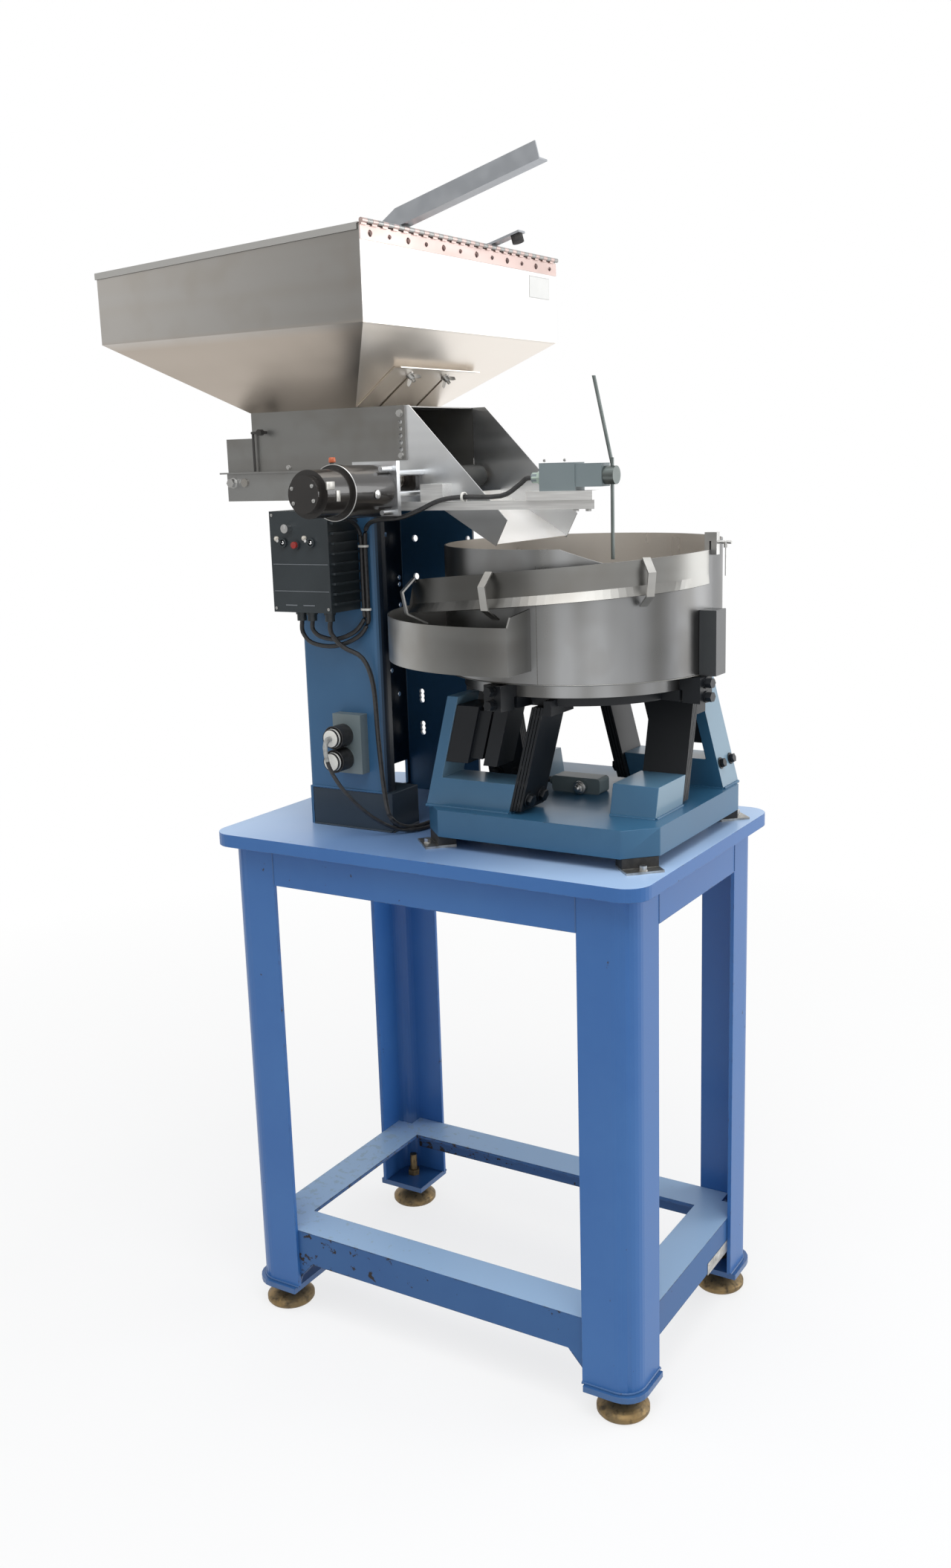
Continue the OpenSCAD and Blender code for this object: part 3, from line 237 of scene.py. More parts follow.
def finish(name, **constants):
    """A new finish: its material, node tree and shader, with the shader's constants set."""
    made = bpy.data.materials.new(name)
    made.use_nodes = True
    shader = made.node_tree.nodes["Principled BSDF"]
    for socket, value in constants.items():
        shader.inputs[socket.replace("_", " ")].default_value = value
    return made, made.node_tree, shader


def bumped(tree, shader, height, strength, distance):
    """The surface's fine relief, from a height."""
    bump = step(tree, "Bump", {"Height": height, "Strength": strength, "Distance": distance})
    tree.links.new(bump.outputs[0], shader.inputs["Normal"])


def painted(name, paint, faded, bare, wear, edge, gloss, strength=0.25, dust_and_sheen=None,
            **constants):
    """Sprayed enamel on steel, with the colour and share of a paler tone on its top faces: dust and
    a painted sheen of the light from above.
    """
    made, tree, shader = finish(name, **constants)
    coat = step(tree, "Group", node_tree=enamel)
    tree.links.new(step(tree, "TexCoord").outputs["Object"], coat.inputs["Vector"])
    for label, value in (("Paint", paint), ("Faded", faded), ("Bare", bare), ("Wear", wear),
                         ("Edge", edge), ("Gloss", gloss)):
        coat.inputs[label].default_value = value
    colour = coat.outputs["Color"]
    # Top faces take the paler tone, dust and painted sheen together.
    if dust_and_sheen:
        up = step(tree, "SeparateXYZ", {0: step(tree, "NewGeometry").outputs["Normal"]})
        share = dust_and_sheen[1](tree) if callable(dust_and_sheen[1]) else dust_and_sheen[1]
        colour = blended(tree, ranged(tree, up.outputs[2], 0.7, 0.98, 0.0, share), colour,
                         dust_and_sheen[0])
    tree.links.new(colour, shader.inputs["Base Color"])
    tree.links.new(coat.outputs["Roughness"], shader.inputs["Roughness"])
    bumped(tree, shader, coat.outputs["Height"], strength, 0.0004)
    return made


def dress(node, material):
    """Gives a node of the solid model its finish."""
    for held in nodes[node].material_slots:
        held.material = material


def soften(node, width, segments=2):
    """Breaks the sharp edges of a node of the solid model."""
    weld = nodes[node].modifiers.new("joined", "WELD")
    weld.merge_threshold = 0.00001
    edge = nodes[node].modifiers.new("broken_edge", "BEVEL")
    edge.width = width
    edge.segments = segments
    edge.limit_method = "ANGLE"
    edge.angle_limit = math.radians(40)
    edge.harden_normals = True


# The tops of the legs and rails are paler: dust and a painted sheen from the light above.
stand_blue = painted("blue_machine_enamel", (0.030, 0.128, 0.370, 1), (0.046, 0.158, 0.405, 1),
                     (0.040, 0.038, 0.040, 1), 0.85, 0.003, 0.36,
                     dust_and_sheen=((0.42, 0.60, 0.88, 1), 0.52),
                     Coat_Weight=0.14, Coat_Roughness=0.16, Specular_IOR_Level=0.36)
for node in ("legs", "apron_rails"):
    dress(node, stand_blue)


def painted_sheen_at_ends(tree):
    """The share of the painted sheen on the table: least in its middle and most at its ends, where
    its top reflects the light.
    """
    spot = step(tree, "SeparateXYZ", {0: step(tree, "TexCoord").outputs["Object"]})
    away = sum_of(tree, sum_of(tree, spot.outputs[0], 0.02), 0.0, "ABSOLUTE")
    return ranged(tree, away, 0.10, 0.34, 0.28, 0.78)


# The table top is painted paler at its two ends, a painted reflection of the light from above.
table_blue = painted("blue_table_enamel", (0.030, 0.128, 0.370, 1), (0.046, 0.158, 0.405, 1),
                     (0.040, 0.038, 0.040, 1), 0.85, 0.003, 0.36,
                     dust_and_sheen=((0.50, 0.68, 0.93, 1), painted_sheen_at_ends),
                     Coat_Weight=0.14, Coat_Roughness=0.16, Specular_IOR_Level=0.36)
dress("table_top", table_blue)
# The tops of the lower frame are paler: dust and a painted sheen from the light above.
stand_blue_worn = painted("blue_enamel_worn", (0.028, 0.098, 0.265, 1), (0.044, 0.130, 0.310, 1),
                          (0.028, 0.020, 0.016, 1), 0.9, 0.005, 0.44,
                          dust_and_sheen=((0.50, 0.70, 0.90, 1), 0.58),
                          Coat_Weight=0.10, Coat_Roughness=0.18, Specular_IOR_Level=0.26)
tree = stand_blue_worn.node_tree
coat = next(held for held in tree.nodes if held.type == "GROUP")
spot = step(tree, "SeparateXYZ", {0: step(tree, "TexCoord").outputs["Object"]})
tree.links.new(ranged(tree, spot.outputs[0], -0.30, 0.10, 1.55, 0.95), coat.inputs["Wear"])
dress("lower_frame", stand_blue_worn)
for node, width in (("table_top", 0.0012), ("legs", 0.0010), ("lower_frame", 0.0010),
                    ("foot_plates", 0.0012)):
    soften(node, width)


# ---- Welds and the blank plate of the stand ------------------------------------------------
# The rails are welded to the legs and the legs to their foot plates, with rippled beads under
# the paint. A small bare aluminium plate is riveted to the right hand rail.
def at(x, y, z):
    """A layout point in millimetres, X from the left legs and Y from the front legs."""
    return Vector(((x - 361.25) / 1000, (y - 244.75) / 1000, z / 1000))


def tube_piece(name, points, radius, material, body, ripple=0.0, pitch=0.0,
               taper=0.0):
    """A round bead, wire or lead along points. It ripples like a weld where asked, and thins
    towards its end by the taper's share."""
    path = [Vector(point) for point in points]
    if pitch:
        fine_path = [path[0]]
        for start, end in zip(path, path[1:]):
            count = max(1, round((end - start).length / pitch))
            fine_path += [start.lerp(end, (k + 1) / count) for k in range(count)]
        path = fine_path
    line = bpy.data.curves.new(name, "CURVE")
    line.dimensions = "3D"
    line.bevel_depth = radius
    line.bevel_resolution = 2
    line.use_fill_caps = True
    run = line.splines.new("POLY")
    run.points.add(len(path) - 1)
    for k, point in enumerate(path):
        run.points[k].co = (*point, 1)
        run.points[k].radius = (1 - (ripple if k % 2 else 0)) * (
            1 - taper * k / (len(path) - 1))
    made = bpy.data.objects.new(name, line)
    bpy.context.scene.collection.objects.link(made)
    line.materials.append(material)
    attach(made, body)
    return made


def piece(name, shape, materials, body, smooth=35):
    """A finished shape as a piece that rides on a body of the solid model."""
    bmesh.ops.recalc_face_normals(shape, faces=shape.faces)
    for face in shape.faces:
        face.smooth = True
    mesh = bpy.data.meshes.new(name)
    shape.to_mesh(mesh)
    shape.free()
    mesh.set_sharp_from_angle(angle=math.radians(smooth))
    made = bpy.data.objects.new(name, mesh)
    bpy.context.scene.collection.objects.link(made)
    for material in materials:
        mesh.materials.append(material)
    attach(made, body)
    return made


def block(shape, low, high, rounding, segments=2):
    """A rounded block between two layout corners."""
    low, high = at(*low), at(*high)
    made = bmesh.ops.create_cube(shape, size=1.0, matrix=Matrix.Translation(
        (low + high) / 2) @ Matrix.Diagonal((*(high - low), 1)))
    edges = list({edge for vertex in made["verts"] for edge in vertex.link_edges})
    bmesh.ops.bevel(shape, geom=edges, offset=rounding, segments=segments, affect="EDGES",
                    profile=0.5, material=-1)


def disc(shape, place, out, radius, height, rounding=0.0, sides=28, top=None):
    """A round or many-sided stud that stands on a point and faces out."""
    turn = Vector((0, 0, 1)).rotation_difference(Vector(out)).to_matrix().to_4x4()
    made = bmesh.ops.create_cone(
        shape, cap_ends=True, segments=sides, radius1=radius, radius2=top or radius,
        depth=height, matrix=Matrix.Translation(place) @ turn
        @ Matrix.Translation((0, 0, height / 2)))
    if rounding:
        ends = list({edge for vertex in made["verts"] for edge in vertex.link_edges
                     if len(edge.link_faces) == 2 and any(len(face.verts) > 4
                                                          for face in edge.link_faces)})
        bmesh.ops.bevel(shape, geom=ends, offset=rounding, segments=2, affect="EDGES",
                        profile=0.5, material=-1)


weld_blue = painted("blue_weld_enamel", (0.026, 0.100, 0.270, 1), (0.040, 0.130, 0.310, 1),
                    (0.030, 0.026, 0.024, 1), 0.9, 0.002, 0.32, Coat_Weight=0.2)
dress("foot_plates", weld_blue)
foot_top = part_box("foot_plates")[1].z
for k, (side, back) in enumerate(((0, 0), (1, 0), (1, 1), (0, 1))):
    outline = [(106, 0), (41, 0)] + [
        (41 - 41 * math.sin(math.radians(a)), 41 - 41 * math.cos(math.radians(a)))
        for a in range(15, 90, 15)] + [(0, 41), (0, 106)]
    ring = []
    for x, y in outline:
        corner = at(859 - x if side else x, 564 - y if back else y, 0)
        ring.append((corner.x, corner.y, foot_top + 0.001))
    tube_piece(f"foot_weld_{k}", ring, 0.0032, weld_blue, "stand", 0.22,
               0.004)
for k, (x, y) in enumerate(((106, 0), (753, 0), (859, 106), (859, 458))):
    tube_piece(f"apron_weld_{k}", [at(x, y, 921), at(x, y, 990)], 0.0014, weld_blue,
               "stand", 0.2, 0.003)
plate_metal, tree, shader = finish("bare_plate", Metallic=0.9)
spot = step(tree, "TexCoord").outputs["Object"]
rub = step(tree, "TexNoise", {"Vector": spot, "Scale": 70.0, "Detail": 5.0,
                              "Roughness": 0.6}).outputs[0]
tree.links.new(blended(tree, ranged(tree, rub, 0.35, 0.7), (0.62, 0.61, 0.58, 1),
                       (0.34, 0.33, 0.31, 1)), shader.inputs["Base Color"])
tree.links.new(ranged(tree, rub, 0.3, 0.7, 0.30, 0.55), shader.inputs["Roughness"])
shape = bmesh.new()
block(shape, (851.05, 355, 115), (852.2, 470, 140), 0.0004)
for y, z in ((361, 120), (464, 120), (361, 135), (464, 135)):
    disc(shape, at(852.1, y, z), (1, 0, 0), 0.0022, 0.0012, 0.0005, 16)
piece("blank_plate", shape, [plate_metal], "stand")


# ---- Levelling feet ----------------------------------------------------------------------
# Four threaded studs with round pads and lock nuts, zinc plated and yellow passivated, and
# dulled by grime.
foot_zinc, tree, shader = finish("yellow_zinc_plate", Metallic=0.75)
spot = step(tree, "TexCoord").outputs["Object"]
cloudy = step(tree, "TexNoise", {"Vector": spot, "Scale": 30.0, "Detail": 5.0,
                                 "Roughness": 0.65}).outputs[0]
grime = step(tree, "TexNoise", {"Vector": spot, "Scale": 90.0, "Detail": 3.0}).outputs[0]
zinc = blended(tree, ranged(tree, cloudy, 0.35, 0.68), (0.30, 0.20, 0.085, 1),
               (0.16, 0.125, 0.075, 1))
tree.links.new(blended(tree, ranged(tree, grime, 0.52, 0.70, 0.0, 0.7), zinc,
                       (0.045, 0.036, 0.026, 1)), shader.inputs["Base Color"])
tree.links.new(ranged(tree, cloudy, 0.3, 0.7, 0.38, 0.60), shader.inputs["Roughness"])
bumped(tree, shader, grime, 0.25, 0.0005)
dress("leveling_feet", foot_zinc)


# ---- Column and its base block -----------------------------------------------------------
# A deep folded channel, open to the front, stands on a heavy steel block on the table. Both
# are painted blue, the block darker from oil and handling.
column_blue = painted("blue_column_enamel", (0.032, 0.118, 0.245, 1), (0.048, 0.14, 0.27, 1),
                      (0.03, 0.03, 0.032, 1), 0.40, 0.003, 0.38)


def toned(material, axis, low, high, colour, below=None):
    """Changes the tone of the sides of a piece that face along an axis."""
    tree = material.node_tree
    socket = tree.nodes["Principled BSDF"].inputs["Base Color"]
    held = socket.links[0].from_socket
    side = step(tree, "SeparateXYZ", {0: step(tree, "NewGeometry").outputs["Normal"]})
    share = ranged(tree, side.outputs[axis], low, high)
    if below:
        height = step(tree, "SeparateXYZ", {0: step(tree, "TexCoord").outputs["Object"]})
        share = sum_of(tree, share, ranged(tree, height.outputs[2], *below), "MULTIPLY")
    tree.links.new(blended(tree, share, held, colour), socket)


# Faces turned to the right are painted near black, a painted shade inside the channel.
toned(column_blue, 0, 0.5, 0.9, (0.003, 0.009, 0.020, 1))
dress("column_channel", column_blue)
block_dark = painted("oily_dark_enamel", (0.020, 0.036, 0.055, 1), (0.032, 0.050, 0.070, 1),
                     (0.02, 0.02, 0.02, 1), 0.35, 0.003, 0.42)
dress("column_base", block_dark)
soften("column_base", 0.0015)
for name, height, start, end, finish_used in (
        ("column_weld", 1092, 121, 292, column_blue), ("block_weld", 1017, 121, 303, block_dark)):
    tube_piece(name, [at(start, 120.6, height), at(end, 120.6, height)], 0.0026, finish_used,
               "stand", 0.2, 0.004)
tube_piece("block_weld_right", [at(305.4, 122, 1017), at(305.4, 208, 1017)], 0.0026,
           block_dark, "stand", 0.2, 0.004)


# ---- Bulk hopper and its throat ----------------------------------------------------------
# The hopper is folded and welded from stainless sheet, ground along its seams. Below it the
# throat box leads on to the belt, and four posts carry the whole on the column's channel.
grain, grain_in, grain_out = group_of(
    "sheet_grain",
    (("Vector", "Vector", None), ("Stretch", "Vector", (8.0, 8.0, 500.0)),
     ("Light", "Color", (0.6, 0.6, 0.6, 1)), ("Dark", "Color", (0.4, 0.4, 0.4, 1)),
     ("Stain", "Color", (0.35, 0.32, 0.28, 1)), ("Stained", "Float", 0.3),
     ("Gloss", "Float", 0.3)),
    (("Color", "Color"), ("Roughness", "Float"), ("Height", "Float")))
place = grain_in.outputs["Vector"]
drawn = step(grain, "VectorMath", {0: place, 1: grain_in.outputs["Stretch"]},
             operation="MULTIPLY").outputs[0]
lines = step(grain, "TexNoise", {"Vector": drawn, "Scale": 1.0, "Detail": 0.0}).outputs[0]
cloud = step(grain, "TexNoise", {"Vector": place, "Scale": 5.0, "Detail": 2.0,
                                 "Roughness": 0.55}).outputs[0]
smear = step(grain, "TexNoise", {"Vector": place, "Scale": 11.0, "Detail": 2.0,
                                 "Roughness": 0.55}).outputs[0]
sheet = blended(grain, ranged(grain, sum_of(grain, sum_of(grain, lines, 0.55, "MULTIPLY"),
                                            sum_of(grain, cloud, 0.45, "MULTIPLY")),
                              0.38, 0.62), grain_in.outputs["Dark"], grain_in.outputs["Light"])
marked = sum_of(grain, ranged(grain, smear, 0.50, 0.72), grain_in.outputs["Stained"],
                "MULTIPLY")
grain.links.new(blended(grain, marked, sheet, grain_in.outputs["Stain"]),
                grain_out.inputs["Color"])
grain.links.new(sum_of(grain, grain_in.outputs["Gloss"],
                       sum_of(grain, ranged(grain, lines, 0.3, 0.7, -0.02, 0.03),
                              ranged(grain, smear, 0.40, 0.80, 0.0, 0.06))),
                grain_out.inputs["Roughness"])
grain.links.new(lines, grain_out.inputs["Height"])


def steel(name, light, dark, stain, stained, gloss, stretch, strength=0.0, shades=(),
          **constants):
    """Rolled or brushed metal sheet. The stretch is high across the grain and low along it.
    Each shade is a ramp of painted light and shade: an axis, two places along it and the tone at
    each."""
    made, tree, shader = finish(name, **{"Metallic": 1.0, **constants})
    body = step(tree, "Group", node_tree=grain)
    tree.links.new(step(tree, "TexCoord").outputs["Object"], body.inputs["Vector"])
    for label, value in (("Stretch", stretch), ("Light", light), ("Dark", dark),
                         ("Stain", stain), ("Stained", stained), ("Gloss", gloss)):
        body.inputs[label].default_value = value
    colour = body.outputs["Color"]
    for axis, start, end, first, last in shades:
        spot = step(tree, "SeparateXYZ", {0: step(tree, "TexCoord").outputs["Object"]})
        tone = ranged(tree, spot.outputs[axis], start, end, first, last)
        colour = step(tree, "VectorMath", {0: colour, 3: tone}, operation="SCALE").outputs[0]
    tree.links.new(colour, shader.inputs["Base Color"])
    tree.links.new(body.outputs["Roughness"], shader.inputs["Roughness"])
    if strength:
        bumped(tree, shader, body.outputs["Height"], strength, 0.0003)
    return made


# The sheet's tone carries painted light and shade: the front darkens towards the right, and the
# cone below the wall is painted paler.
hopper_steel = steel("hopper_sheet", (0.50, 0.485, 0.465, 1), (0.485, 0.465, 0.44, 1),
                     (0.43, 0.39, 0.34, 1), 0.35, 0.31, (2.0, 2.0, 45.0), 0,
                     ((0, -0.50, 0.03, 1.12, 0.70), (2, 1.90, 1.935, 1.20, 1.0)))
# Faces turned to the right are painted pale as lit faces, and faces turned to the back are painted
# darker as shaded ones. The cone's right hand face is painted paler still, and its front takes a
# warmer tone.
toned(hopper_steel, 0, 0.6, 0.9, (0.76, 0.745, 0.73, 1))
toned(hopper_steel, 1, 0.6, 0.9, (0.42, 0.41, 0.395, 1))
toned(hopper_steel, 0, 0.25, 0.45, (0.92, 0.86, 0.79, 1), (1.935, 1.925))
toned(hopper_steel, 1, -0.25, -0.45, (0.455, 0.395, 0.335, 1), (1.935, 1.915))
dress("hopper_bin", hopper_steel)
lid_steel = steel("lid_sheet", (0.40, 0.40, 0.39, 1), (0.36, 0.36, 0.35, 1),
                  (0.30, 0.29, 0.27, 1), 0.3, 0.34, (2.0, 45.0, 2.0), 0)
# Faces turned to the front are painted paler: painted light on the lid's front edge.
toned(lid_steel, 1, -0.6, -0.9, (0.52, 0.515, 0.50, 1))
dress("hopper_lid", lid_steel)
arm_steel = steel("arm_bar", (0.44, 0.46, 0.49, 1), (0.40, 0.42, 0.45, 1),
                  (0.33, 0.33, 0.33, 1), 0.3, 0.34, (45.0, 2.0, 45.0), 0)
dress("lid_arms", arm_steel)
throat_steel = steel("throat_sheet", (0.30, 0.30, 0.29, 1), (0.275, 0.27, 0.26, 1),
                     (0.21, 0.195, 0.17, 1), 0.4, 0.34, (2.0, 2.0, 45.0), 0, Metallic=0.8)
for node in ("throat_box", "corner_posts"):
    dress(node, throat_steel)
dress("gate_plate", hopper_steel)
tube_piece("bin_corner_weld", [at(402, -43, 1929), at(402, -43, 2076)], 0.0012, hopper_steel,
           "stand", 0.15, 0.003)
label_edge, tree, shader = finish("label_print", Specular_IOR_Level=0.4)
spot = step(tree, "TexCoord").outputs["Object"]
aged = step(tree, "TexNoise", {"Vector": spot, "Scale": 40.0, "Detail": 4.0}).outputs[0]
tree.links.new(blended(tree, aged, (0.50, 0.50, 0.49, 1), (0.62, 0.62, 0.60, 1)),
               shader.inputs["Base Color"])
label_face, tree, shader = finish("label_film", Specular_IOR_Level=0.4)
spot = step(tree, "TexCoord").outputs["Object"]
aged = step(tree, "TexNoise", {"Vector": spot, "Scale": 40.0, "Detail": 4.0}).outputs[0]
tree.links.new(blended(tree, aged, (0.80, 0.80, 0.78, 1), (0.70, 0.70, 0.68, 1)),
               shader.inputs["Base Color"])
shape = bmesh.new()
block(shape, (402.05, 522, 2008), (402.5, 604, 2049), 0.0001, 1)
outer = max(shape.faces, key=lambda face: (round(face.normal.x, 3), face.calc_area()))
for face in bmesh.ops.inset_region(shape, faces=[outer], thickness=0.0022)["faces"]:
    face.material_index = 0
outer.material_index = 1
piece("blank_label", shape, [label_edge, label_face], "stand")
rubber_black, tree, shader = finish("black_rubber", Specular_IOR_Level=0.35)
spot = step(tree, "TexCoord").outputs["Object"]
powder = step(tree, "TexNoise", {"Vector": spot, "Scale": 60.0, "Detail": 5.0}).outputs[0]
tree.links.new(blended(tree, ranged(tree, powder, 0.4, 0.7), (0.014, 0.014, 0.015, 1),
                       (0.045, 0.043, 0.040, 1)), shader.inputs["Base Color"])
tree.links.new(ranged(tree, powder, 0.3, 0.7, 0.55, 0.75), shader.inputs["Roughness"])
bumped(tree, shader, powder, 0.3, 0.0004)
dress("lid_bumper", rubber_black)


# ---- Hinge, its screws and the gate's wing nuts --------------------------------------------
# Plain bright zinc plated steel hardware, slightly dulled.
bright_zinc = steel("bright_zinc_hardware", (0.62, 0.62, 0.61, 1), (0.52, 0.52, 0.51, 1),
                    (0.34, 0.32, 0.29, 1), 0.35, 0.28, (30.0, 30.0, 30.0), 0.03)
for node in ("gate_wing_nuts", "hex_bolts"):
    dress(node, bright_zinc)
hinge_rose = steel("hinge_strip", (0.62, 0.50, 0.47, 1), (0.54, 0.42, 0.39, 1),
                   (0.40, 0.32, 0.29, 1), 0.35, 0.36, (60.0, 6.0, 60.0), 0.02)
dress("hopper_hinge", hinge_rose)
screw_dark = steel("blackened_screw", (0.16, 0.10, 0.09, 1), (0.10, 0.07, 0.065, 1),
                   (0.05, 0.04, 0.04, 1), 0.35, 0.35, (30.0, 30.0, 30.0), 0.03)
dress("hinge_screws", screw_dark)


# ---- Belt conveyor -------------------------------------------------------------------------
# A short flat belt runs between a driven head roller and a tail roller in a folded stainless
# frame, and drops the parts down a folded chute into the bowl.
frame_steel = steel("conveyor_sheet", (0.38, 0.385, 0.38, 1), (0.34, 0.34, 0.335, 1),
                    (0.25, 0.235, 0.21, 1), 0.4, 0.33, (2.0, 2.0, 45.0), 0)
dress("conveyor_frame", frame_steel)
# The plates are painted darker towards their lower edge and paler at the top: painted shade and
# light.
chute_steel = steel("chute_sheet", (0.88, 0.90, 0.92, 1), (0.82, 0.84, 0.86, 1),
                    (0.66, 0.63, 0.58, 1), 0.3, 0.30, (2.0, 2.0, 45.0), 0,
                    ((2, 1.600, 1.650, 0.48, 1.0), (2, 1.690, 1.800, 0.92, 1.15)))
for node in ("chute_plate_front", "chute_plate_rear"):
    dress(node, chute_steel)
slide_steel = steel("slide_sheet", (0.97, 0.95, 0.92, 1), (0.90, 0.88, 0.85, 1),
                    (0.74, 0.70, 0.63, 1), 0.4, 0.34, (2.0, 2.0, 45.0), 0,
                    Metallic=0.85)
dress("chute_floor", slide_steel)
roller_turned = steel("turned_roller", (0.55, 0.54, 0.52, 1), (0.38, 0.36, 0.33, 1),
                      (0.20, 0.15, 0.10, 1), 0.6, 0.25, (8.0, 400.0, 8.0))
dress("head_roller", roller_turned)
dress("tail_roller", roller_turned)
belt_top, tree, shader = finish("belt_cover", Specular_IOR_Level=0.4)
spot = step(tree, "TexCoord").outputs["Object"]
weave = step(tree, "TexWave", {"Vector": spot, "Scale": 160.0, "Distortion": 0.4},
             wave_type="BANDS", bands_direction="Y").outputs[1]
scuff = step(tree, "TexNoise", {"Vector": spot, "Scale": 14.0, "Detail": 5.0}).outputs[0]
tree.links.new(blended(tree, ranged(tree, scuff, 0.4, 0.68), (0.020, 0.022, 0.022, 1),
                       (0.060, 0.060, 0.056, 1)), shader.inputs["Base Color"])
tree.links.new(ranged(tree, scuff, 0.3, 0.7, 0.45, 0.65), shader.inputs["Roughness"])
bumped(tree, shader, weave, 0.3, 0.0004)
dress("conveyor_belt", belt_top)
motor_black = painted("black_gear_enamel", (0.016, 0.014, 0.013, 1), (0.030, 0.026, 0.023, 1),
                      (0.10, 0.09, 0.08, 1), 0.35, 0.002, 0.22, 0.35, Coat_Weight=0.4)
for node in ("gearmotor", "gearbox", "hook_rod", "head_bearings"):
    dress(node, motor_black)
dress("motor_plate", chute_steel)


# ---- Fittings of the gearmotor ---------------------------------------------------------------
# A bright turned rim between motor and gearbox, two bare plates and end screws on the motor,
# a filler plug on the gearbox and an orange breather cap.
axis_x, axis_z = 338, 1655
rim = [at(axis_x + 46.6 * math.cos(math.radians(a)), -59.4,
          axis_z + 46.6 * math.sin(math.radians(a))) for a in range(0, 361, 6)]
tube_piece("motor_rim", rim, 0.0011, bright_zinc, "stand")
shape = bmesh.new()
for angle in (35, 155, 215, 335):
    disc(shape, at(axis_x + 24 * math.cos(math.radians(angle)), -144,
                   axis_z + 24 * math.sin(math.radians(angle))), (0, -1, 0), 0.0032, 0.0024,
         0.0005, 16)
disc(shape, at(383, 3, 1650), (1, 0, 0), 0.0075, 0.0025, 0.0006, 24)
disc(shape, at(385.5, 3, 1650), (1, 0, 0), 0.0045, 0.0022, 0.0004, 6)
piece("motor_screws", shape, [bright_zinc], "stand")
shape = bmesh.new()
block(shape, (376.2, -132, 1662), (378.6, -110, 1675), 0.0004)
block(shape, (377.4, -107, 1642), (379.2, -97, 1660), 0.0004)
piece("motor_plates", shape, [plate_metal], "stand")
orange, tree, shader = finish("orange_cap_plastic", Coat_Weight=0.2)
spot = step(tree, "TexCoord").outputs["Object"]
tinge = step(tree, "TexNoise", {"Vector": spot, "Scale": 150.0, "Detail": 3.0}).outputs[0]
tree.links.new(blended(tree, tinge, (0.62, 0.13, 0.03, 1), (0.45, 0.10, 0.04, 1)),
               shader.inputs["Base Color"])
tree.links.new(ranged(tree, tinge, 0.3, 0.7, 0.35, 0.5), shader.inputs["Roughness"])
shape = bmesh.new()
disc(shape, at(316, -30, 1705), (0, 0, 1), 0.0065, 0.009, 0.0018, 24, 0.0056)
piece("breather_cap", shape, [orange], "stand")


# ---- Level bar, switch and wand ------------------------------------------------------------
# An extruded aluminium bar reaches over the bowl and carries a sealed limit switch, whose
# wire wand hangs into the bowl.
bar_aluminium = steel("mill_aluminium", (0.84, 0.835, 0.82, 1), (0.74, 0.735, 0.72, 1),
                      (0.55, 0.53, 0.50, 1), 0.3, 0.38, (20.0, 600.0, 600.0), 0.03,
                      Metallic=0.75)
dress("level_bar", bar_aluminium)
switch_grey = painted("switch_enamel", (0.150, 0.190, 0.200, 1), (0.20, 0.24, 0.25, 1),
                      (0.30, 0.29, 0.27, 1), 0.35, 0.0012, 0.40)
for node in ("level_switch", "receptacle_box", "junction_box"):
    dress(node, switch_grey)
wand_steel = steel("wand_wire", (0.17, 0.19, 0.185, 1), (0.13, 0.15, 0.145, 1),
                   (0.10, 0.10, 0.09, 1), 0.4, 0.34, (40.0, 40.0, 30.0), 0.02)
dress("level_wand", wand_steel)
gland_green, tree, shader = finish("pale_gland_plastic", Coat_Weight=0.1)
spot = step(tree, "TexCoord").outputs["Object"]
tinge = step(tree, "TexNoise", {"Vector": spot, "Scale": 130.0, "Detail": 3.0}).outputs[0]
tree.links.new(blended(tree, tinge, (0.42, 0.52, 0.44, 1), (0.34, 0.42, 0.37, 1)),
               shader.inputs["Base Color"])
tree.links.new(ranged(tree, tinge, 0.3, 0.7, 0.35, 0.5), shader.inputs["Roughness"])
shape = bmesh.new()
disc(shape, at(621, 126, 1670), (1, 0, 0), 0.0100, 0.010, 0.0012, 6)
disc(shape, at(631, 126, 1670), (1, 0, 0), 0.0115, 0.010, 0.0012, 8)
piece("switch_gland", shape, [gland_green], "stand")
shape = bmesh.new()
for x in (652, 690):
    for z in (1642, 1698):
        disc(shape, at(x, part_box("level_switch")[0].y * 1000 + 244.75, z), (0, -1, 0), 0.0026,
             0.0012, 0.0004, 16)
disc(shape, at(727, 119.5, 1618.1), (0, 0, -1), 0.0055, 0.004, 0.0006, 6)
disc(shape, at(704, 119.5, 1618.1), (0, 0, -1), 0.0055, 0.004, 0.0006, 6)
piece("switch_screws", shape, [bright_zinc], "stand")


# ---- Control box -----------------------------------------------------------------------------
# A ribbed pressed case in black crackle enamel, hung on the column's side, with a speed knob,
# two lamps, two toggle switches and a round push button.
case_black = painted("black_case_enamel", (0.020, 0.026, 0.030, 1), (0.032, 0.042, 0.048, 1),
                     (0.08, 0.08, 0.08, 1), 0.30, 0.0015, 0.36, 0.5)
dress("control_box", case_black)
chrome = steel("chrome_trim", (0.80, 0.80, 0.80, 1), (0.66, 0.66, 0.66, 1),
               (0.45, 0.44, 0.42, 1), 0.2, 0.12, (40.0, 40.0, 40.0))
for node in ("speed_knob", "toggle_left", "toggle_right"):
    dress(node, chrome)
lamp_lens, tree, shader = finish("lamp_lens", Transmission_Weight=0.0, Coat_Weight=0.6)
spot = step(tree, "TexCoord").outputs["Object"]
ribs = step(tree, "TexNoise", {"Vector": spot, "Scale": 220.0, "Detail": 2.0}).outputs[0]
tree.links.new(blended(tree, ribs, (0.75, 0.72, 0.66, 1), (0.55, 0.50, 0.42, 1)),
               shader.inputs["Base Color"])
tree.links.new(ranged(tree, ribs, 0.3, 0.7, 0.15, 0.30), shader.inputs["Roughness"])
dress("pilot_lamps", lamp_lens)
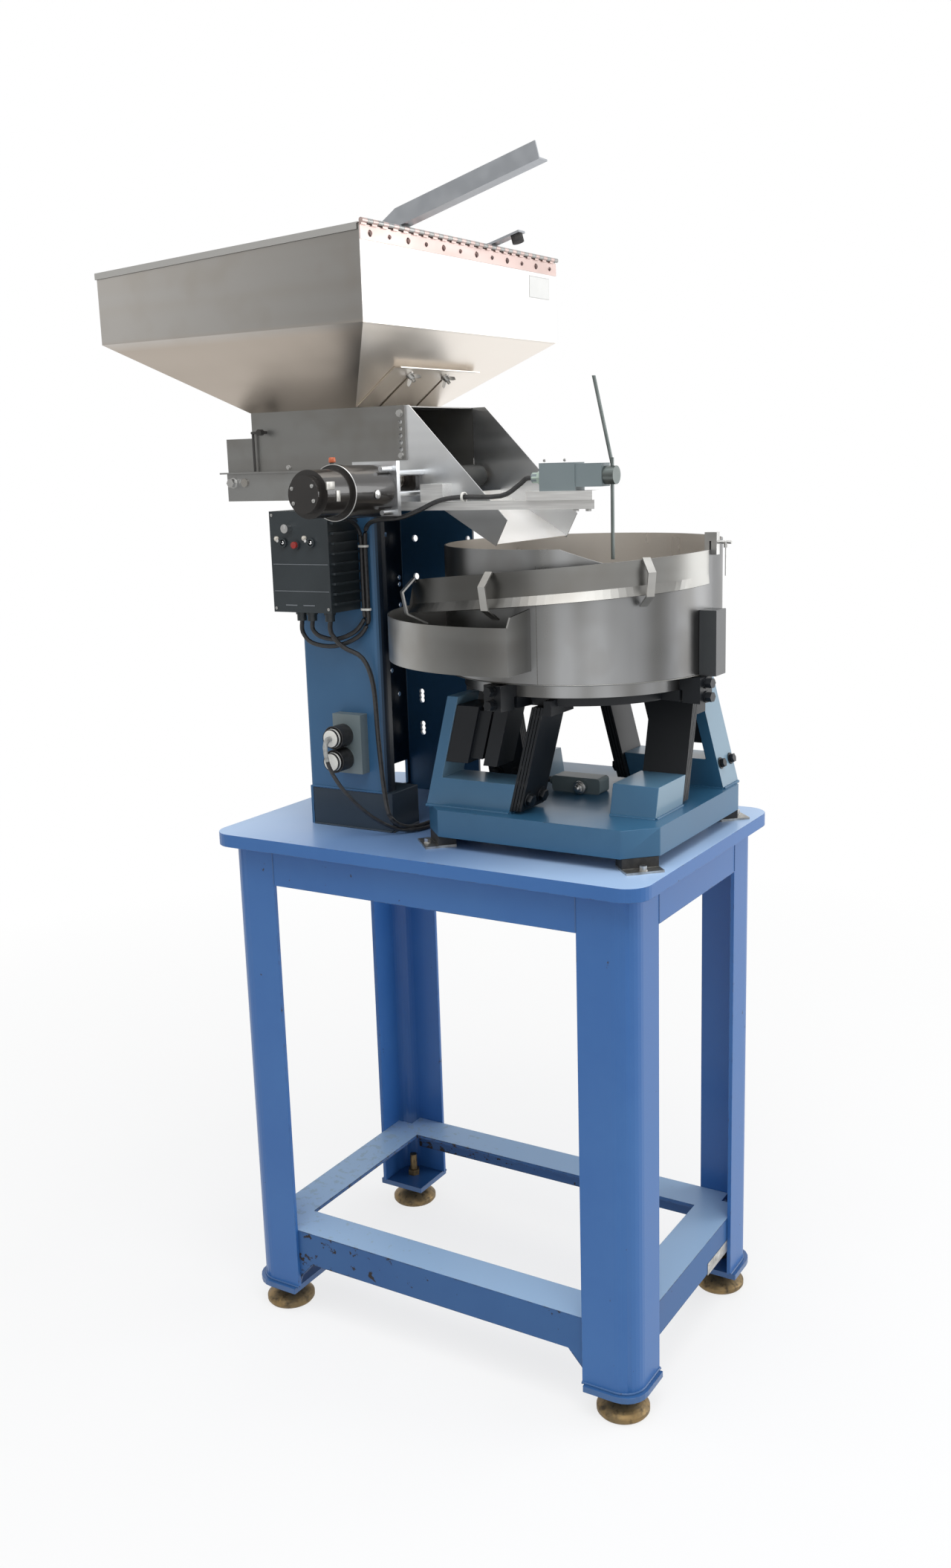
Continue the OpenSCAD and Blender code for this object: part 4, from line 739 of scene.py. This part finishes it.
white_nylon, tree, shader = finish("white_nylon", Subsurface_Weight=0.0)
spot = step(tree, "TexCoord").outputs["Object"]
milky = step(tree, "TexNoise", {"Vector": spot, "Scale": 120.0, "Detail": 3.0}).outputs[0]
tree.links.new(blended(tree, milky, (0.80, 0.79, 0.75, 1), (0.66, 0.65, 0.60, 1)),
               shader.inputs["Base Color"])
tree.links.new(ranged(tree, milky, 0.3, 0.7, 0.35, 0.50), shader.inputs["Roughness"])
dress("cable_ties", white_nylon)
button_red, tree, shader = finish("red_button", Coat_Weight=0.3)
spot = step(tree, "TexCoord").outputs["Object"]
dust_and_sheen = step(tree, "TexNoise", {"Vector": spot, "Scale": 180.0, "Detail": 3.0}).outputs[0]
tree.links.new(blended(tree, ranged(tree, dust_and_sheen, 0.4, 0.7), (0.34, 0.016, 0.012, 1),
                       (0.26, 0.03, 0.025, 1)), shader.inputs["Base Color"])
tree.links.new(ranged(tree, dust_and_sheen, 0.3, 0.7, 0.28, 0.42), shader.inputs["Roughness"])
dress("push_button", button_red)
panel_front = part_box("control_box")[0].y
shape = bmesh.new()
for z in (1527, 1478.5):
    block(shape, (126, 30.35, z - 0.7), (250, 31.1, z + 0.7), 0.0002, 1)
for x0, x1 in ((150, 176), (190, 216)):
    block(shape, (x0, 30.45, 1452), (x1, 31.1, 1454), 0.0002, 1)
panel_grey, tree, shader = finish("panel_ink", Specular_IOR_Level=0.4)
spot = step(tree, "TexCoord").outputs["Object"]
worn_ink = step(tree, "TexNoise", {"Vector": spot, "Scale": 90.0, "Detail": 4.0}).outputs[0]
tree.links.new(blended(tree, worn_ink, (0.20, 0.22, 0.24, 1), (0.12, 0.13, 0.14, 1)),
               shader.inputs["Base Color"])
piece("panel_rules", shape, [panel_grey], "stand")
shape = bmesh.new()
for x in (128, 247):
    for z in (1447, 1615):
        disc(shape, at(x, 31.05, z), (0, -1, 0), 0.0028, 0.0014, 0.0004, 16)
piece("panel_screws", shape, [bright_zinc], "stand")
cable_black, tree, shader = finish("black_cable_jacket", Specular_IOR_Level=0.5)
spot = step(tree, "TexCoord").outputs["Object"]
skin = step(tree, "TexNoise", {"Vector": spot, "Scale": 140.0, "Detail": 3.0}).outputs[0]
tree.links.new(blended(tree, ranged(tree, skin, 0.35, 0.7), (0.012, 0.012, 0.013, 1),
                       (0.032, 0.032, 0.033, 1)), shader.inputs["Base Color"])
tree.links.new(ranged(tree, skin, 0.3, 0.7, 0.38, 0.55), shader.inputs["Roughness"])
bumped(tree, shader, skin, 0.2, 0.0003)
for node in ("level_cable", "drive_cable", "plugs"):
    dress(node, cable_black)


# ---- Caps and strain relief of the mains plugs -------------------------------------------------
# Moulded rubber plugs with pale nylon end caps. The upper one's lead leaves through a pale
# tapered relief.
shape = bmesh.new()
for x, z in ((219, 1204), (218, 1159)):
    disc(shape, at(x, 62, z), (0, -1, 0), 0.0186, 0.0112, 0.0040, 36, 0.0168)
piece("plug_caps", shape, [white_nylon], "stand")
relief = [at(219, 50.6, 1204), at(219, 46, 1203.6), at(219.2, 42, 1203), at(220.2, 36.6, 1199),
          at(222, 31, 1192), at(226.2, 26.2, 1179.4), at(231, 24, 1166)]
relief_grey, tree, shader = finish("pale_relief_rubber", Specular_IOR_Level=0.4)
spot = step(tree, "TexCoord").outputs["Object"]
grubby = step(tree, "TexNoise", {"Vector": spot, "Scale": 90.0, "Detail": 4.0}).outputs[0]
tree.links.new(blended(tree, ranged(tree, grubby, 0.35, 0.7), (0.42, 0.43, 0.42, 1),
                       (0.22, 0.22, 0.21, 1)), shader.inputs["Base Color"])
tree.links.new(ranged(tree, grubby, 0.3, 0.7, 0.45, 0.60), shader.inputs["Roughness"])
tube_piece("plug_relief", relief, 0.0058, relief_grey, "stand", taper=0.28)
for k, (x, z) in enumerate(((219, 1204), (218, 1159))):
    bead = [at(x + 20.9 * math.cos(math.radians(a)), 62,
               z + 20.9 * math.sin(math.radians(a))) for a in range(0, 361, 12)]
    tube_piece(f"plug_lip_{k}", bead, 0.0014, cable_black, "stand")


# ---- Bowl, track and outer trough ------------------------------------------------------------
# The bowl is rolled from stainless sheet and welded, with its spiral track inside, and an
# outer trough that runs down round the drum into a return pan. Straps tie them together.
# The drum is painted darker towards its left and right ends, a painted shade.
drum_steel = steel("drum_sheet", (0.375, 0.38, 0.385, 1), (0.245, 0.245, 0.24, 1),
                   (0.25, 0.235, 0.215, 1), 0.30, 0.29, (26.0, 26.0, 0.8), 0,
                   ((0, 0.03, 0.23, 0.26, 0.92), (0, 0.40, 0.50, 1.08, 0.45)))
tree = drum_steel.node_tree
shader = tree.nodes["Principled BSDF"]
from_axis = step(tree, "VectorMath", {0: step(tree, "TexCoord").outputs["Object"],
                                      1: (-0.26475, -0.05025, 0.0)}, operation="ADD")
facing_in = step(tree, "VectorMath", {0: from_axis.outputs[0],
                                      1: step(tree, "NewGeometry").outputs["Normal"]},
                 operation="DOT_PRODUCT").outputs[1]
outside = ranged(tree, facing_in, -0.1, -0.02)
# Inside faces take a pale, even tone and less metal: painted light inside the bowl.
tone = shader.inputs["Base Color"].links[0].from_socket
tree.links.new(blended(tree, outside, (0.56, 0.52, 0.47, 1), tone),
               shader.inputs["Base Color"])
tree.links.new(ranged(tree, outside, 0.0, 1.0, 0.6, 1.0), shader.inputs["Metallic"])
dress("bowl_shell", drum_steel)
track_steel = steel("track_sheet", (0.62, 0.59, 0.55, 1), (0.55, 0.52, 0.48, 1),
                    (0.42, 0.39, 0.34, 1), 0.40, 0.32, (2.0, 2.0, 45.0), 0,
                    Metallic=0.7)
dress("bowl_track", track_steel)
# The trough's wall is painted dark at its left and paler towards the right: painted shade.
trough_steel = steel("trough_sheet", (0.36, 0.36, 0.345, 1), (0.33, 0.325, 0.31, 1),
                     (0.27, 0.25, 0.22, 1), 0.4, 0.31, (2.0, 2.0, 45.0), 0,
                     ((0, 0.10, 0.40, 0.22, 0.74), (0, 0.38, 0.47, 1.0, 0.92)))
tree = trough_steel.node_tree
facet = step(tree, "VectorTransform", {0: step(tree, "NewGeometry").outputs["Normal"]},
             vector_type="NORMAL", convert_from="WORLD", convert_to="OBJECT").outputs[0]
from_axis = step(tree, "VectorMath", {0: step(tree, "TexCoord").outputs["Object"],
                                      1: (-0.26475, -0.05025, 0.0)}, operation="ADD").outputs[0]
level = step(tree, "VectorMath", {0: from_axis, 1: (1.0, 1.0, 0.0)},
             operation="MULTIPLY").outputs[0]
radial = step(tree, "VectorMath", {0: level}, operation="NORMALIZE").outputs[0]
outward = step(tree, "VectorMath", {0: radial, 1: facet}, operation="DOT_PRODUCT").outputs[1]
turned_out = step(tree, "VectorMath", {0: radial, 3: sum_of(tree, outward, 0.0, "SIGN")},
                  operation="SCALE").outputs[0]
on_wall = ranged(tree, sum_of(tree, outward, 0.0, "ABSOLUTE"), 0.90, 0.95)
rolled = step(tree, "Mix", {0: on_wall, 4: facet, 5: turned_out}, data_type="VECTOR").outputs[1]
tree.links.new(step(tree, "VectorTransform", {0: rolled}, vector_type="NORMAL",
                    convert_from="OBJECT", convert_to="WORLD").outputs[0],
               trough_steel.node_tree.nodes["Principled BSDF"].inputs["Normal"])
dress("outer_trough", trough_steel)
strap_steel = steel("strap_bar", (0.46, 0.46, 0.44, 1), (0.40, 0.395, 0.38, 1),
                    (0.34, 0.32, 0.29, 1), 0.3, 0.32, (2.0, 2.0, 45.0), 0)
dress("strap_brackets", strap_steel)
for k, turn in enumerate((41, 94, 131)):
    angle = -math.radians(turn)
    out = Vector((math.cos(angle), math.sin(angle), 0))
    across = Vector((-math.sin(angle), math.cos(angle), 0))
    top = at(626, 295, 1542 - 0.06 * turn - 0.0019 * turn * turn - 3)
    top += out * (0.2567 + 0.062 * (turn - 6) / 128)
    tube_piece(f"strap_weld_{k}", [top - across * 0.007, top + across * 0.007], 0.0022,
               trough_steel, "bowl", 0.25, 0.003)
# The pan is painted paler at its left and darker to the right: painted light and shade.
pan_steel = steel("pan_sheet", (0.31, 0.31, 0.30, 1), (0.285, 0.28, 0.27, 1),
                  (0.23, 0.215, 0.19, 1), 0.4, 0.30, (2.0, 2.0, 45.0), 0,
                  ((0, 0.10, 0.24, 1.15, 0.80),))
dress("return_pan", pan_steel)
black_iron = painted("black_iron_paint", (0.007, 0.009, 0.012, 1), (0.014, 0.016, 0.019, 1),
                     (0.10, 0.095, 0.09, 1), 0.45, 0.002, 0.42, Specular_IOR_Level=0.35)
for node in ("bowl_clamps", "armature_frame", "magnets"):
    dress(node, black_iron)
weight_black = painted("weight_enamel", (0.030, 0.034, 0.037, 1), (0.046, 0.050, 0.054, 1),
                       (0.10, 0.095, 0.09, 1), 0.45, 0.002, 0.30, Coat_Weight=0.4)
dress("counterweight", weight_black)
dress("nozzle_fitting", bright_zinc)
seam_angle = math.radians(-81.4)
seam = [at(626 + 250.1 * math.cos(seam_angle), 295 + 250.1 * math.sin(seam_angle), z)
        for z in (1329, 1528)]
tube_piece("drum_seam", seam, 0.0007, trough_steel, "bowl", 0.3, 0.003)
edge_ring = [at(626 + 250.1 * math.cos(math.radians(a)), 295 + 250.1 * math.sin(math.radians(a)),
                1329.2) for a in range(0, 361, 4)]
tube_piece("drum_bottom_weld", edge_ring, 0.0012, trough_steel, "bowl")


# ---- Vibratory drive ---------------------------------------------------------------------------
# A thick machined base with chamfered corners stands on rubber isolators and carries the
# leaning spring blocks and packs of black leaf springs.
drive_blue = painted("blue_drive_enamel", (0.030, 0.116, 0.220, 1), (0.050, 0.150, 0.262, 1),
                     (0.05, 0.048, 0.045, 1), 0.50, 0.003, 0.34,
                     Coat_Weight=0.20, Coat_Roughness=0.12, Specular_IOR_Level=0.36)
dress("drive_base", drive_blue)
# Top faces take a paler blue: dust and a painted sheen from the light above.
upright_blue = painted("blue_upright_enamel", (0.034, 0.128, 0.238, 1),
                       (0.054, 0.165, 0.285, 1), (0.05, 0.048, 0.045, 1), 0.50, 0.003, 0.34,
                       dust_and_sheen=((0.13, 0.27, 0.40, 1), 0.75),
                       Coat_Weight=0.35, Coat_Roughness=0.12, Specular_IOR_Level=0.45)
# Faces turned to the right are painted paler, as lit faces.
toned(upright_blue, 0, 0.6, 0.9, (0.16, 0.27, 0.36, 1))
dress("drive_uprights", upright_blue)
soften("drive_base", 0.0018)
soften("drive_uprights", 0.0014)
dress("leaf_springs", black_iron)
for node in ("counterweight", "magnets"):
    soften(node, 0.0010)
isolator, tree, shader = finish("isolator_pad_and_plate")
spot = step(tree, "TexCoord").outputs["Object"]
height = step(tree, "SeparateXYZ", {0: spot}).outputs[2]
metal = step(tree, "Math", {0: height, 1: 1.0203}, operation="LESS_THAN").outputs[0]
tarnish = step(tree, "TexNoise", {"Vector": spot, "Scale": 80.0, "Detail": 4.0}).outputs[0]
zinc = blended(tree, ranged(tree, tarnish, 0.35, 0.7), (0.50, 0.50, 0.48, 1),
               (0.28, 0.27, 0.25, 1))
pad = blended(tree, ranged(tree, tarnish, 0.4, 0.7), (0.012, 0.012, 0.013, 1),
              (0.035, 0.033, 0.031, 1))
tree.links.new(blended(tree, metal, pad, zinc), shader.inputs["Base Color"])
tree.links.new(metal, shader.inputs["Metallic"])
tree.links.new(ranged(tree, metal, 0.0, 1.0, 0.65, 0.38), shader.inputs["Roughness"])
dress("isolators", isolator)


# ---- Welds, clamp bolts and the small screws of the drive ----------------------------------------
# The blocks are welded to the base under the paint. Hex bolts clamp each spring pack to its
# block below and to the frame of the bowl above.
for k, run in enumerate((
        [(403, 89.4, 1088), (577, 89.4, 1088)], [(577.6, 92, 1088), (577.6, 164, 1088)],
        [(744, 154.4, 1088), (831, 154.4, 1088)], [(831.6, 156, 1088), (831.6, 272, 1088)],
        [(849.4, 426, 1088), (849.4, 499, 1088)], [(677, 423.4, 1088), (848, 423.4, 1088)])):
    tube_piece(f"drive_weld_{k}", [at(*point) for point in run], 0.0034, drive_blue, "stand",
               0.25, 0.005)
lean = 0.26
lean_angle = math.atan(lean)
face_out = Vector((math.cos(lean_angle), 0, -math.sin(lean_angle)))
shape = bmesh.new()
for k, first in enumerate((-49, -22, -33, -22)):
    turn = Matrix.Rotation(math.radians(90 * k), 3, "Z")
    for y in (-187, -141):
        local = turn @ Vector((first + 24.8 + lean * 20, y, 0))
        centre = at(626 + local.x, 295 + local.y, 1114)
        out = turn @ face_out
        disc(shape, centre, out, 0.0145, 0.0025, 0.0004, 28)
        disc(shape, centre + out * 0.0024, out, 0.0115, 0.0085, 0.0008, 6)
piece("spring_bolts", shape, [black_iron], "stand")
shape = bmesh.new()
out = Vector((math.cos(lean_angle), 0, math.sin(lean_angle)))
for y in (438, 486):
    centre = at(849.1 - lean * 46, y, 1134)
    disc(shape, centre, out, 0.0110, 0.002, 0.0004, 24)
    disc(shape, centre + out * 0.002, out, 0.0088, 0.0075, 0.0007, 6)
piece("upright_bolts", shape, [black_iron], "stand")
shape = bmesh.new()
disc(shape, at(624, 273, 1102), (0, -1, 0), 0.0125, 0.002, 0.0004, 28)
disc(shape, at(624, 271, 1102), (0, -1, 0), 0.0095, 0.007, 0.0010, 6)
disc(shape, at(624, 264, 1102), (0, -1, 0), 0.0050, 0.006, 0.0010, 20)
piece("junction_nut", shape, [bright_zinc], "stand")
